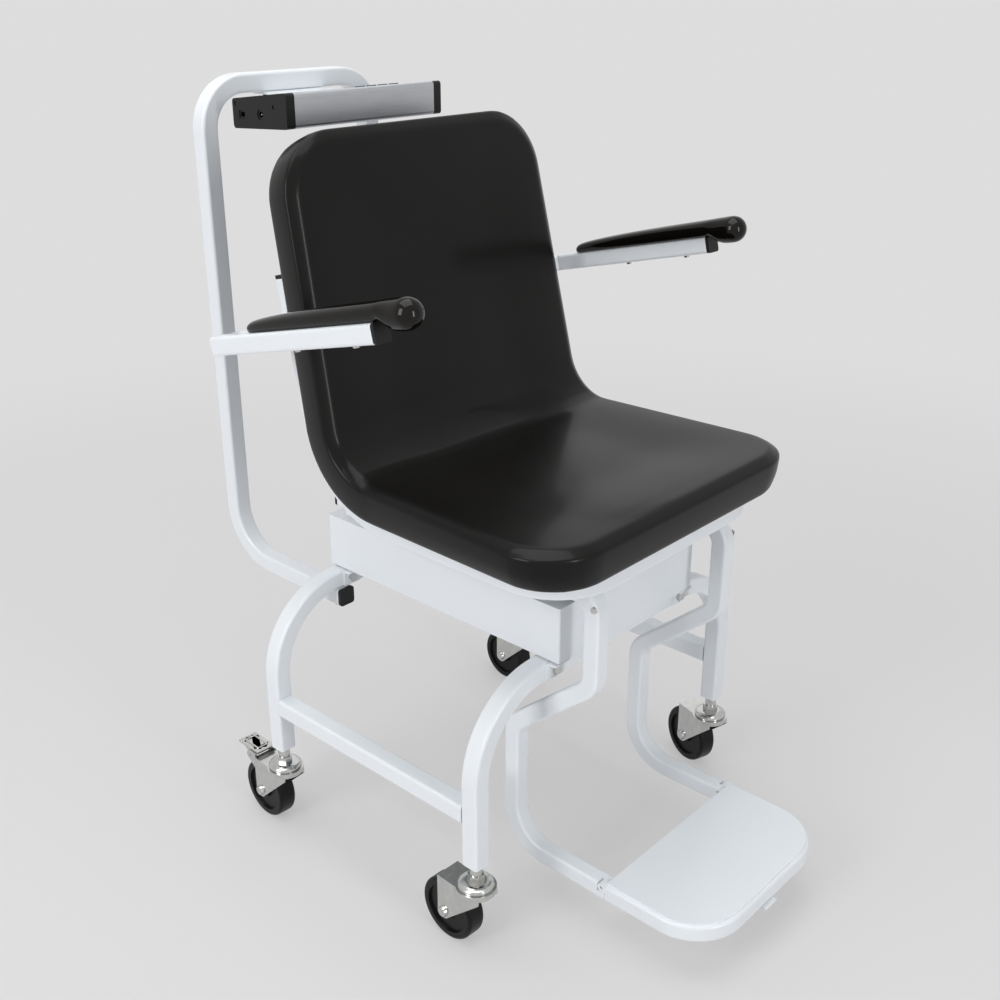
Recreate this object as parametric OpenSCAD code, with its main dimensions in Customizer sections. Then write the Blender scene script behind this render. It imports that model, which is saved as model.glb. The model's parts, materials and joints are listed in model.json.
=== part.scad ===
// Electronic chair scale for weighing a seated person: a tube cart on castors, a load-cell box,
// a seat with flip-up armrests and a fold-up footrest, and a push handle with the indicator.
// Millimetres. +Z is up, the front is -Y and X = 0 is the plane of symmetry.

/* [Tubes] */
// Side of the square tube of the cart and the push handle
frame_s = 22; // [20:0.5:24]
// Side of the square tube of the seat, footrest and arms
seat_s = 20; // [18:0.5:22]
// Wall of all the tubes
tube_wall = 1.5; // [1.2:0.1:2]
// Outer corner radius of all the tubes
tube_r = 3.5; // [2.5:0.5:4.5]

/* [Castors] */
// Diameter of the wheels
wheel_d = 75; // [65:1:80]
// Width of the wheels
wheel_w = 23; // [20:1:28]
// Distance from the swivel axis to the axle
castor_trail = 36; // [30:1:40]
// Radius of the axles
axle_r = 4; // [3:0.5:5]
// Sheet thickness of the forks and the pedals
fork_t = 2.5; // [2:0.1:3]
// Radius of the upper swivel race
race_r = 20; // [17:0.5:22]
// Height of the domed upper race
race_h = 6.7; // [5:0.1:9]
// Radius of the threaded castor stems
stem_r = 5; // [4:0.5:6]
// Length of the brake pedals
pedal_l = 41; // [30:1:50]
// Swivel angle at rest of the front left castor
turn_front_left = -2; // [-180:1:180]
// Swivel angle at rest of the front right castor
turn_front_right = -18; // [-180:1:180]
// Swivel angle at rest of the rear left castor
turn_rear_left = -3; // [-180:1:180]
// Swivel angle at rest of the rear right castor
turn_rear_right = -4; // [-180:1:180]

/* [Cart] */
// Distance between the left and right castor stems
track_w = 450; // [420:2:500]
// Distance between the front and rear castor stems
base_l = 324; // [300:2:360]
// Height of the centreline of the arches
arch_z = 309; // [280:1:330]
// Bend radius of the arches on the centreline
arch_r = 95; // [70:1:105]
// Height of the centreline of the side rails
rail_z = 176; // [150:1:200]
// Depth of the inserts in the leg ends
insert_h = 28; // [20:1:36]
// Radius of the frame bolts
bolt_r = 3; // [2.5:0.5:4]

/* [Load-cell box] */
// Width of the box
box_w = 242; // [236:2:250]
// Height of the box
box_h = 66; // [60:1:76]
// Reach of the box ahead of the front arch
box_front = 23; // [20:1:30]
// Reach of the box behind the rear arch
box_rear = 16; // [13:1:30]
// Sheet thickness of the box
sheet_t = 1.5; // [1:0.1:2]
// Side of the load-cell bars
cell_s = 22; // [18:1:26]
// Length of the load-cell bars
cell_l = 110; // [95:1:120]
// Clear height between the box and the cross bars
stud_gap = 12; // [8:1:20]
// Thickness of the cross bars
cross_t = 6; // [4:0.5:8]

/* [Footrest] */
// Distance between the centrelines of the footrest tubes
foot_track = 230; // [220:2:240]
// Clear distance from the box to the footrest tubes in front of it
foot_gap = 33; // [26:1:45]
// Distance from the front arch back to the lower footrest tubes
foot_setback = 40; // [30:1:60]
// Height of the upper knee of the footrest tubes
knee_z = 311; // [300:1:325]
// Height of the lower knee of the footrest tubes
heel_z = 222; // [200:1:235]
// Height of the centreline of the foot plate
foot_z = 66; // [50:1:80]
// Distance from the lower tubes forward to the hinge split
foot_reach = 137; // [120:1:160]
// Length of the foot plate
plate_l = 133; // [110:1:160]
// Bend radius of the foot plate corners on the centreline
plate_r = 52; // [40:1:65]
// Sheet thickness of the foot plate
plate_t = 2; // [1.5:0.5:3]
// Radius of the hinge pins
pin_r = 2; // [1.5:0.5:2.5]

/* [Seat] */
// Outer width of the seat frame
seat_frame_w = 368; // [340:2:390]
// Distance from the seat frame's front bar to the bend of the side tubes
seat_depth = 240; // [215:1:265]
// Lean of the seat back
back_lean = 12.3; // [8:0.1:16]
// Height of the back posts over the seat tubes
post_h = 252; // [220:1:280]
// Inner bend radius of the seat pad, where the seat meets the back
pad_bend_r = 58; // [45:1:75]
// Thickness of the seat pad
pad_t = 45; // [35:1:55]
// Width of the seat pad
pad_w = 410; // [390:2:430]
// Width of the seat pad at its top edge
pad_top_w = 372; // [350:2:400]
// Height of the seat back above its bend
back_h = 300; // [260:1:330]
// Corner radius of the seat pad
pad_r = 58; // [40:1:70]
// Reach of the seat pad ahead of the seat frame
pad_lip = 12; // [4:1:20]
// Thickness of the seat board
board_t = 4; // [3:0.5:8]

/* [Armrests] */
// Distance between the centrelines of the arms
arm_track = 532; // [510:2:560]
// Height of the armrest stubs on the posts, along the posts
bar_up = 204; // [170:1:220]
// Tilt of the arms at rest
arm_tilt = 13.5; // [8:0.5:18]
// Length of the arms in front of the pivot
arm_l = 241; // [210:1:270]
// Radius of the arm pivots
pivot_r = 5; // [4:0.5:6]
// Radius of the knob at the front of the arm pads
knob_r = 15.5; // [13:0.5:18]
// Radius of the arm pads at their rear end
grip_r = 8; // [6:0.5:10]
// Radius of the arm pads behind the knob
neck_r = 13.5; // [11:0.5:15]

/* [Push handle] */
// Distance between the centrelines of the handle posts
handle_w = 250; // [246:2:270]
// Distance from the rear arch back to the handle posts
handle_back = 192; // [170:1:220]
// Overall height of the push handle
handle_h = 879; // [850:1:920]
// Bend radius at the top of the handle
handle_top_r = 50; // [35:1:70]
// Bend radius at the foot of the handle
handle_low_r = 65; // [50:1:80]

/* [Indicator] */
// Width of the indicator with its end caps
indicator_w = 236; // [210:2:240]
// Depth of the indicator
indicator_d = 96; // [85:1:110]
// Height of the indicator at its front face
indicator_front_h = 38; // [34:1:46]
// Height of the indicator at its rear face
indicator_rear_h = 32.5; // [30:0.5:40]
// Fall of the sloping top from front to rear
indicator_fall = 10; // [6:1:16]
// Distance from the indicator to the handle
indicator_gap = 35; // [25:1:50]
// Thickness of the end caps
endcap_t = 12; // [9:1:16]
// Wall of the aluminium body
body_wall = 2.5; // [2:0.1:3]
// Radius of the keys
key_r = 6; // [5:0.5:7]
// Travel of the keys
key_travel = 0.8; // [0.4:0.1:1]

/* [Hidden] */
$fn = 48;
// Clearances
run_fit = 0.05;
slip_fit = 0.1;
air_gap = 0.3;
bolt_fit = 0.2;
over = 1;
// Run of the straight lengths into a bend, and the thinning of each face in the bend
bend_lap = 0.4;
bend_thin = 0.02;
// Depth of the plugs in the tube ends
plug_l = 8;

// Castor stack, from the floor up
axle_z = wheel_d / 2;
wheel_gap = 5;
plate_z = wheel_d + wheel_gap;
ring_z = plate_z + fork_t;
ring_h = 3.5;
ring_r = race_r + 2.5;
dome_z = ring_z + ring_h + air_gap;
nut_z = dome_z + race_h;
nut_h = 8;
nut_r = 9.5;
collar_h = 13;
castor_h = nut_z + nut_h + collar_h;
king_head_h = 3;
side_gap = 1.5;
fork_w = wheel_w + 2 * side_gap + 2 * fork_t;
boss_r = 9;
fork_front = 17;
fork_rear = castor_trail + boss_r;
fork_lip = 5;
// How far the straight edges of the fork run inside its round ends
edge_bite = 0.2;
ear_r = 6;
ear_y = fork_rear + 10;
ear_z = plate_z + 1;
pedal_z = dome_z + 3;
pedal_y = fork_rear - 4;
pedal_w = wheel_w + 2 * side_gap - 2 * air_gap;
axle_head_r = 6.5;
axle_head_h = 3;

// Cart
front_y = -base_l / 2;
rear_y = base_l / 2;
half_track = track_w / 2;
bolt_x = box_w / 2 - 8;
bracket_t = 2;
bracket_w = 24;
bracket_leg = 11;
bracket_drop = 20;
bolt_head_h = 4;
bolt_nut_h = 5;
bolt_hex_r = 5.8;

// Load-cell box, from the arches up
box_z = arch_z + frame_s / 2;
box_top = box_z + box_h;
box_y0 = front_y - box_front;
box_y1 = rear_y + box_rear;
box_l = box_y1 - box_y0;
box_mid = (box_y0 + box_y1) / 2;
box_r = 2.5;
lip_z = 1.5;
tray_t = 2;
tray_flange = 14;
cell_x = 70;
spacer_h = 8;
spacer_l = 34;
cell_z = box_z + tray_t + spacer_h;
stud_y = 125;
stud_r = 6;
stud_thread_r = 4;
stud_thread = 10;
flange_r = 11;
flange_h = 4;
cell_end = 12;
cross_w = 30;
cross_z = box_top + stud_gap;

// Footrest and foot plate
foot_x = foot_track / 2;
tube_z = cross_z + cross_t + seat_s / 2;
drop_y = box_y0 - foot_gap - seat_s / 2;
low_y = front_y + foot_setback;
split_y = low_y - foot_reach;
foot_rear_y = stud_y + cross_w;
drop_r = 22;
knee_r = 26;
heel_r = 50;
knuckle_r = 5;
pin_y = split_y + knuckle_r;
pin_z = foot_z + seat_s / 2 - knuckle_r;
block_l = 16;
plate_y = split_y - plate_l + seat_s / 2;
sheet_inset = 4;
sheet_z = foot_z + seat_s / 2;

// Seat: the board and the pad follow the bend of the frame about one centre
seat_z = tube_z + seat_s;
rail_x = seat_frame_w / 2 - seat_s / 2;
bar_y = drop_y - 4;
board_gap = air_gap;
board_r = pad_bend_r + pad_t + air_gap + board_t;
frame_bend_r = board_r + board_gap + seat_s / 2;
bend_angle = 90 - back_lean;
bend_back = frame_bend_r * tan(bend_angle / 2);
bend_y = bar_y + seat_depth;
corner_y = bend_y + bend_back;
bend_z = seat_z + frame_bend_r;
frame_corner_r = 65;
up_dir = [0, sin(back_lean), cos(back_lean)];
face_dir = [0, -cos(back_lean), sin(back_lean)];
post_top = [rail_x, corner_y, seat_z] + up_dir * post_h / cos(back_lean);
pad_front = bar_y - seat_s / 2 - pad_lip;
board_inset = 12;
board_side = 19;
cross_tube_y = bend_y - seat_s;

// Armrests
arm_x = arm_track / 2;
bar_at = [0, corner_y, seat_z] + up_dir * bar_up;
bar_root = rail_x + seat_s / 2;
bar_end = arm_x - seat_s / 2 - 2 * air_gap;
pivot_flange = air_gap;
arm_tail = 15;
arm_block = 26;
pivot_depth = seat_s - 2;
pad_start = -48;
knob_reach = 37;
knob_y = -(arm_l + knob_reach);
grip_lift = 4;
grip_shift = 4;
arm_screw_y = [-117, -205];

// Push handle
handle_x = handle_w / 2;
handle_y = rear_y + handle_back;
handle_low_z = arch_z - frame_s;
handle_top_z = handle_h - frame_s / 2;
handle_tip_y = rear_y - frame_s / 2 - 1;

// Indicator
ind_r = 4;
ind_y1 = handle_y - frame_s / 2 - indicator_gap;
ind_y0 = ind_y1 - indicator_d;
ind_top = handle_h - 12;
ind_bottom = ind_top - indicator_front_h;
ind_core = [
    [ind_y0 + ind_r, ind_bottom + ind_r],
    [ind_y1 - ind_r, ind_top - indicator_fall - indicator_rear_h + ind_r],
    [ind_y1 - ind_r, ind_top - indicator_fall - ind_r],
    [ind_y0 + ind_r, ind_top - ind_r]];
ind_half = indicator_w / 2 - endcap_t;
top_slope = atan2(indicator_fall, indicator_d - 2 * ind_r);
top_mid = [0, (ind_core[2][0] + ind_core[3][0]) / 2, (ind_core[2][1] + ind_core[3][1]) / 2];
top_out = [0, sin(top_slope), cos(top_slope)];
top_back = [0, cos(top_slope), -sin(top_slope)];
top_at = top_mid + top_out * ind_r;
window_w = indicator_w * 0.44;
window_d = indicator_d * 0.375;
window_x = -indicator_w * 0.18;
window_rim = 2;
key_x0 = indicator_w * 0.135;
key_pitch = indicator_w * 0.076;
key_lift = 1.5;
key_flange = 1.3;
key_rim = 1.5;
switch_s = 6;
pcb_t = 1.6;
pcb_drop = 14;
spigot_l = 6;
bracket_plate = 3;
jack_r = 5.5;
data_w = 11;
data_h = 9;
tab_half_w = 45;
screw_r = 2;
screw_head_r = 3.8;
screw_head_h = 2.4;
cap_screw_r = 1.3;
cap_head_r = 2.2;
cap_sink = 3.2;

// Whole part: the overall depth is centred on Y = 0
mid_y = (plate_y - seat_s / 2 + handle_y + frame_s / 2) / 2;

// Vectors and paths
function unit(v) = v / norm(v);
function dir_in(p, i) = unit(p[i] - p[i - 1]);
function dir_out(p, i) = unit(p[i + 1] - p[i]);
function turn_at(p, i) = acos(dir_in(p, i) * dir_out(p, i));
function is_corner(p, i) = i > 0 && i < len(p) - 1;
function setback(p, r, i) = is_corner(p, i) ? r[i - 1] * tan(turn_at(p, i) / 2) : 0;
function straight_end(p, r, i) = setback(p, r, i) - (is_corner(p, i) ? bend_lap : 0);
function near_corner(p, i) = min(max(i, 1), len(p) - 2);
function bend_normal(p, i) = unit(cross(dir_in(p, i), dir_out(p, i)));
// Point where a line from q touches a circle, on the circle's left side seen from q
function touch_point(c, r, q) =
    let (v = q - c)
    let (a = atan2(v[1], v[0]) + acos(r / norm(v)))
    c + r * [cos(a), sin(a)];

module centred() {
    translate([0, -mid_y, 0]) children();
}

module on_axes(at, x, y, z) {
    multmatrix([
        [x[0], y[0], z[0], at[0]],
        [x[1], y[1], z[1], at[1]],
        [x[2], y[2], z[2], at[2]],
        [0, 0, 0, 1]]) children();
}

// A side view, drawn as [y, z], turned to run along X
module along_x(from, length) {
    on_axes([from, 0, 0], [0, 1, 0], [0, 0, 1], [1, 0, 0]) linear_extrude(length) children();
}

module rounded_rect(w, h, r) {
    square([w - 2 * r, h], center = true);
    square([w, h - 2 * r], center = true);
    for (x = [-1, 1], y = [-1, 1])
        translate([x * (w / 2 - r), y * (h / 2 - r)]) circle(r);
}

// Convex outline that lies r outside the polygon p, which runs anticlockwise
module rounded_poly(p, r) {
    polygon(p);
    for (i = [0:len(p) - 1]) {
        q = p[(i + 1) % len(p)];
        side = unit(q - p[i]);
        out = [side[1], -side[0]] * r;
        polygon([p[i], p[i] + out, q + out, q]);
        translate(p[i]) circle(r);
    }
}

module tube_ring(s, thin = 0) {
    outer = s - 2 * thin;
    inner = s - 2 * tube_wall + 2 * thin;
    difference() {
        rounded_rect(outer, outer, tube_r - thin);
        rounded_rect(inner, inner, tube_r - tube_wall + thin);
    }
}

// Square tube through the corner points p, bent at each inner corner to the radius in r
module bent_tube(p, r, s) {
    for (i = [0:len(p) - 2]) {
        run = dir_out(p, i);
        side = bend_normal(p, near_corner(p, i));
        from = p[i] + run * straight_end(p, r, i);
        to = p[i + 1] - run * straight_end(p, r, i + 1);
        on_axes(from, cross(side, run), side, run) linear_extrude(norm(to - from)) tube_ring(s);
    }
    for (i = [1:len(p) - 2]) {
        run = dir_in(p, i);
        side = bend_normal(p, i);
        inward = cross(side, run);
        centre = p[i] - run * setback(p, r, i) + inward * r[i - 1];
        on_axes(centre, -inward, run, side)
            rotate_extrude(angle = turn_at(p, i)) translate([r[i - 1], 0]) tube_ring(s, bend_thin);
    }
}

// Plastic plug with a head, its head outwards along +Z
module tube_cap(s, head) {
    inner = s - 2 * tube_wall - 2 * slip_fit;
    linear_extrude(head) rounded_rect(s, s, tube_r);
    translate([0, 0, -plug_l]) linear_extrude(plug_l) rounded_rect(inner, inner, tube_r - tube_wall);
}

// Pan-head screw along +Z, with its head below Z = 0
module pan_screw(length, r = screw_r, head_r = screw_head_r) {
    cylinder(r = r, h = length);
    translate([0, 0, -screw_head_h]) cylinder(r1 = head_r * 0.8, r2 = head_r, h = screw_head_h);
}

module hex_prism(r, h) {
    cylinder(r = r, h = h, $fn = 6);
}

// Cart
function arch_path(y) = [
    [-half_track, y, castor_h], [-half_track, y, arch_z],
    [half_track, y, arch_z], [half_track, y, castor_h]];

module at_corners() {
    for (x = [-half_track, half_track], y = [front_y, rear_y])
        translate([x, y, 0]) children();
}

module arch_bolt_axes(y) {
    for (x = [-bolt_x, bolt_x])
        translate([x, y, arch_z]) rotate([-90, 0, 0]) children();
}

module handle_bolt_axes() {
    for (x = [-handle_x, handle_x])
        translate([x, rear_y, handle_low_z - frame_s / 2]) children();
}

module arch(y) {
    difference() {
        bent_tube(arch_path(y), [arch_r, arch_r], frame_s);
        arch_bolt_axes(y) cylinder(r = bolt_r + bolt_fit, h = frame_s + 2 * over, center = true);
        if (y > 0)
            handle_bolt_axes() cylinder(r = bolt_r + bolt_fit, h = frame_s * 1.5);
    }
}

module front_arch() {
    color("white") centred() arch(front_y);
}

module rear_arch() {
    color("white") centred() arch(rear_y);
}

module side_rails() {
    rail_l = base_l - frame_s;
    color("white") centred()
        for (x = [-half_track, half_track])
            translate([x, rail_l / 2, rail_z]) rotate([90, 0, 0]) linear_extrude(rail_l) tube_ring(frame_s);
}

module leg_inserts() {
    inner = frame_s - 2 * tube_wall - 2 * slip_fit;
    color("dimgray") centred() at_corners()
        difference() {
            translate([0, 0, castor_h]) linear_extrude(insert_h)
                rounded_rect(inner, inner, tube_r - tube_wall);
            cylinder(r = stem_r + run_fit, h = castor_h + insert_h + over);
        }
}

module frame_bolt(length) {
    cylinder(r = bolt_r, h = length);
    translate([0, 0, -bolt_head_h]) hex_prism(bolt_hex_r, bolt_head_h);
}

module frame_bolts() {
    grip = bracket_t + frame_s;
    color("silver") centred() {
        for (y = [front_y, rear_y])
            arch_bolt_axes(y - frame_s / 2 - bracket_t) {
                frame_bolt(grip + bolt_nut_h + over);
                difference() {
                    translate([0, 0, grip]) hex_prism(bolt_hex_r, bolt_nut_h);
                    cylinder(r = bolt_r + run_fit, h = grip + 2 * bolt_nut_h);
                }
            }
        handle_bolt_axes() frame_bolt(frame_s + frame_s / 2);
    }
}

module corner_brackets() {
    color("white") centred()
        for (y = [front_y, rear_y], x = [-bolt_x, bolt_x])
            translate([x, y - frame_s / 2, 0])
                difference() {
                    union() {
                        translate([-bracket_w / 2, -bracket_t, box_z - bracket_drop])
                            cube([bracket_w, bracket_t, bracket_drop]);
                        translate([-bracket_w / 2, -bracket_leg, box_z - bracket_t])
                            cube([bracket_w, bracket_leg, bracket_t]);
                    }
                    translate([0, 0, arch_z]) rotate([90, 0, 0])
                        cylinder(r = bolt_r + bolt_fit, h = 2 * bracket_leg, center = true);
                }
}

// Castors
module castor_stems() {
    dome = [for (a = [0:15:90])
        [nut_r + (race_r - nut_r) * cos(a), race_h * (0.25 + 0.75 * sin(a))]];
    king_z = plate_z - air_gap - king_head_h;
    color("silver") centred() at_corners() {
        translate([0, 0, dome_z]) rotate_extrude()
            polygon(concat([[0, 0], [race_r, 0]], dome, [[0, race_h]]));
        translate([0, 0, nut_z]) hex_prism(nut_r, nut_h);
        translate([0, 0, nut_z]) cylinder(r = stem_r + 2, h = nut_h + collar_h);
        translate([0, 0, castor_h]) cylinder(r = stem_r, h = insert_h - over);
        translate([0, 0, king_z]) cylinder(r = stem_r, h = dome_z - king_z);
        translate([0, 0, king_z]) cylinder(r = stem_r * 1.5, h = king_head_h);
    }
}

module fork_side(braked) {
    axle = [castor_trail, axle_z];
    nose = [-fork_front, plate_z - fork_lip];
    translate(axle) circle(boss_r);
    polygon([
        [-fork_front, ring_z], nose, touch_point(axle, boss_r - edge_bite, nose), axle,
        [fork_rear - edge_bite, axle_z], [fork_rear - edge_bite, ring_z]]);
    if (braked) {
        ear = [ear_y, ear_z];
        foot = [fork_rear - fork_t, plate_z - 3 * fork_lip];
        translate(ear) circle(ear_r);
        ear_top = ear_z + ear_r - edge_bite;
        polygon([foot, touch_point(ear, ear_r - edge_bite, foot), ear, [ear_y, ear_top], [foot[0], ear_top]]);
    }
}

// Fork with its axle, trailing towards +Y from the swivel axis
module castor_fork(braked) {
    inner = fork_w - 2 * fork_t;
    difference() {
        union() {
            along_x(-fork_w / 2, fork_w) fork_side(braked);
            translate([0, 0, plate_z]) cylinder(r = ring_r, h = fork_t + ring_h);
        }
        translate([-inner / 2, -wheel_d, 0]) cube([inner, 2 * wheel_d, plate_z]);
        translate([-inner / 2, fork_rear, 0]) cube([inner, wheel_d, 2 * plate_z]);
        translate([-inner / 2, ring_r + over, ring_z]) cube([inner, wheel_d, plate_z]);
        translate([0, 0, plate_z - over]) cylinder(r = stem_r + run_fit, h = ring_h + fork_t + 2 * over);
        translate([0, castor_trail, axle_z]) rotate([0, 90, 0])
            cylinder(r = axle_r + run_fit, h = fork_w + 2 * over, center = true);
        if (braked)
            translate([0, ear_y, ear_z]) rotate([0, 90, 0])
                cylinder(r = pin_r + run_fit, h = fork_w + 2 * over, center = true);
    }
    translate([0, castor_trail, axle_z]) rotate([0, 90, 0]) {
        cylinder(r = axle_r, h = fork_w + 2 * axle_head_h, center = true);
        for (side = [0, 180])
            rotate([side, 0, 0]) translate([0, 0, fork_w / 2 + run_fit])
                cylinder(r1 = axle_head_r, r2 = axle_head_r - 1, h = axle_head_h);
    }
    if (braked)
        translate([0, ear_y, ear_z]) rotate([0, 90, 0])
            cylinder(r = pin_r, h = fork_w + over, center = true);
}

module castor_wheel() {
    half = wheel_w / 2;
    r = wheel_d / 2;
    shoulder = 4;
    hub_r = 11;
    hub_half = half + side_gap / 3;
    rim_r = r - 9;
    dish = 3;
    edge = [for (a = [0:15:90]) [r - shoulder + shoulder * sin(a), half - shoulder + shoulder * cos(a)]];
    one_side = concat(
        [[axle_r + run_fit, hub_half], [hub_r, hub_half], [hub_r + 1, half - dish],
            [rim_r - 1, half - dish], [rim_r, half]],
        edge);
    other_side = [for (i = [len(one_side) - 1:-1:0]) [one_side[i][0], -one_side[i][1]]];
    translate([0, castor_trail, axle_z]) rotate([0, 90, 0])
        rotate_extrude() polygon(concat(one_side, other_side));
}

// Brake pedal: a tread plate with two cheeks that hang on the pin in the fork's ears
module brake_pedal() {
    cheek_half = pedal_w / 2;
    heel = [pedal_y, pedal_z];
    ear = [ear_y, ear_z];
    difference() {
        union() {
            translate([-cheek_half, pedal_y, pedal_z - fork_t]) cube([pedal_w, pedal_l, fork_t]);
            for (x = [-cheek_half, cheek_half - fork_t])
                along_x(x, fork_t) {
                    translate(ear) circle(ear_r - over);
                    polygon([heel - [-over, fork_t], ear - [ear_r - over, 0], ear + [ear_r - over, 0],
                        [pedal_y + pedal_l * 0.7, pedal_z - fork_t]]);
                }
        }
        translate([0, ear_y, ear_z]) rotate([0, 90, 0])
            cylinder(r = pin_r + run_fit, h = fork_w, center = true);
    }
}

module on_castor(x, y, turn) {
    centred() translate([x, y, 0]) rotate([0, 0, turn]) children();
}

module castor_fork_front_left() {
    color("silver") on_castor(-half_track, front_y, turn_front_left) castor_fork(false);
}

module castor_fork_front_right() {
    color("silver") on_castor(half_track, front_y, turn_front_right) castor_fork(false);
}

module castor_fork_rear_left() {
    color("silver") on_castor(-half_track, rear_y, turn_rear_left) castor_fork(true);
}

module castor_fork_rear_right() {
    color("silver") on_castor(half_track, rear_y, turn_rear_right) castor_fork(true);
}

module castor_wheel_front_left() {
    color("#1c1c1e") on_castor(-half_track, front_y, turn_front_left) castor_wheel();
}

module castor_wheel_front_right() {
    color("#1c1c1e") on_castor(half_track, front_y, turn_front_right) castor_wheel();
}

module castor_wheel_rear_left() {
    color("#1c1c1e") on_castor(-half_track, rear_y, turn_rear_left) castor_wheel();
}

module castor_wheel_rear_right() {
    color("#1c1c1e") on_castor(half_track, rear_y, turn_rear_right) castor_wheel();
}

module brake_pedal_left() {
    color("silver") on_castor(-half_track, rear_y, turn_rear_left) brake_pedal();
}

module brake_pedal_right() {
    color("silver") on_castor(half_track, rear_y, turn_rear_right) brake_pedal();
}

// Load-cell box
module at_cells() {
    for (x = [-cell_x, cell_x], side = [-1, 1])
        translate([x, side * stud_y, 0]) rotate([0, 0, side > 0 ? 0 : 180]) children();
}

module box_cover() {
    color("white") centred()
        difference() {
            translate([0, box_mid, box_z + lip_z])
                linear_extrude(box_h - lip_z) rounded_rect(box_w, box_l, box_r);
            translate([0, box_mid, box_z])
                linear_extrude(box_h - sheet_t)
                    rounded_rect(box_w - 2 * sheet_t, box_l - 2 * sheet_t, box_r - sheet_t);
            at_cells() translate([0, 0, box_top - 2 * sheet_t]) cylinder(r = flange_r - 2, h = 4 * sheet_t);
        }
}

module box_tray() {
    w = box_w - 2 * sheet_t - 2 * air_gap;
    l = box_l - 2 * sheet_t - 2 * air_gap;
    color("lightgray") centred() translate([0, box_mid, box_z])
        difference() {
            linear_extrude(tray_flange) rounded_rect(w, l, box_r - sheet_t);
            translate([0, 0, tray_t])
                linear_extrude(tray_flange) rounded_rect(w - 2 * sheet_t, l - 2 * sheet_t, 0.1);
        }
}

// Bar with two joined bores that thin its middle, its free end under the stud
module load_cells() {
    bore_r = cell_s * 0.32;
    neck = cell_s * 0.3;
    color("gainsboro") centred() at_cells() translate([0, cell_end - cell_l / 2, cell_z + cell_s / 2])
        difference() {
            cube([cell_s, cell_l, cell_s], center = true);
            for (y = [-bore_r, bore_r])
                translate([0, y, 0]) rotate([0, 90, 0])
                    cylinder(r = bore_r, h = cell_s + 2 * over, center = true);
            cube([cell_s + 2 * over, 2 * bore_r, neck], center = true);
            translate([0, cell_l / 2 - cell_end, cell_s / 2 - stud_thread])
                cylinder(r = stud_thread_r + run_fit, h = stud_thread + over);
        }
}

module cell_spacers() {
    color("gray") centred() at_cells()
        translate([-cell_s / 2, cell_end - cell_l, box_z + tray_t]) cube([cell_s, spacer_l, spacer_h]);
}

module summing_board() {
    board_w = 70;
    board_l = 50;
    legs_h = 6;
    parts = [[-18, 8, 14, 10], [12, 6, 20, 8], [0, -14, 30, 8]];
    color("green") centred() translate([0, 0, box_z + tray_t]) {
        translate([-board_w / 2, -board_l / 2, legs_h]) cube([board_w, board_l, pcb_t]);
        for (x = [-1, 1], y = [-1, 1])
            translate([x * (board_w / 2 - 5), y * (board_l / 2 - 5), 0]) cylinder(r = 3, h = legs_h);
        for (p = parts)
            translate([p[0], p[1], legs_h + pcb_t]) linear_extrude(5) square([p[2], p[3]], center = true);
    }
}

module load_studs() {
    cell_top = cell_z + cell_s;
    color("silver") centred() at_cells() {
        translate([0, 0, cell_top]) cylinder(r = stud_r, h = cross_z - cell_top);
        translate([0, 0, cell_top]) cylinder(r = stud_r + 3, h = flange_h);
        translate([0, 0, cross_z - flange_h]) cylinder(r = flange_r, h = flange_h);
        translate([0, 0, cell_top - stud_thread + over])
            cylinder(r = stud_thread_r, h = cross_z - cell_top + stud_thread + cross_t - 2 * over);
    }
}

module cross_bars() {
    length = foot_track + seat_s;
    color("white") centred()
        for (y = [-stud_y, stud_y])
            difference() {
                translate([-length / 2, y - cross_w / 2, cross_z]) cube([length, cross_w, cross_t]);
                for (x = [-cell_x, cell_x])
                    translate([x, y, cross_z - over])
                        cylinder(r = stud_thread_r + run_fit, h = cross_t + 2 * over);
            }
}

// Footrest: side is -1 on the left and 1 on the right
function foot_path(x) = [
    [x, foot_rear_y, tube_z], [x, drop_y, tube_z], [x, drop_y, knee_z],
    [x, low_y, heel_z], [x, low_y, foot_z], [x, split_y, foot_z]];

module foot_screw_axis(side) {
    translate([side * (foot_x + seat_s / 2), drop_y - 4, tube_z - seat_s / 2])
        rotate([0, -side * 90, 0]) children();
}

// What is cut off the upper edge of a tube end, so that the end of the foot plate turns past it
module hinge_round(x) {
    difference() {
        translate([x - seat_s, split_y - over, pin_z]) cube([2 * seat_s, knuckle_r + over, seat_s]);
        translate([x, pin_y, pin_z]) rotate([0, 90, 0])
            cylinder(r = knuckle_r - slip_fit, h = 3 * seat_s, center = true);
    }
}

module footrest_tube(side) {
    x = side * foot_x;
    outer_half = min(x, x + side * seat_s);
    difference() {
        union() {
            bent_tube(foot_path(x), [drop_r, knee_r, knee_r, heel_r], seat_s);
            translate([x, split_y + block_l / 2, foot_z])
                cube([seat_s - tube_wall, block_l, seat_s - tube_wall], center = true);
        }
        translate([outer_half, split_y - over, pin_z - knuckle_r - air_gap])
            cube([seat_s, 2 * knuckle_r + air_gap + over, seat_s]);
        translate([x, pin_y, pin_z]) rotate([0, 90, 0])
            cylinder(r = pin_r + run_fit, h = 2 * seat_s, center = true);
        foot_screw_axis(side) cylinder(r = screw_r + bolt_fit, h = seat_s / 2);
        hinge_round(x);
    }
}

module footrest_tube_left() {
    color("white") centred() footrest_tube(-1);
}

module footrest_tube_right() {
    color("white") centred() footrest_tube(1);
}

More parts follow.
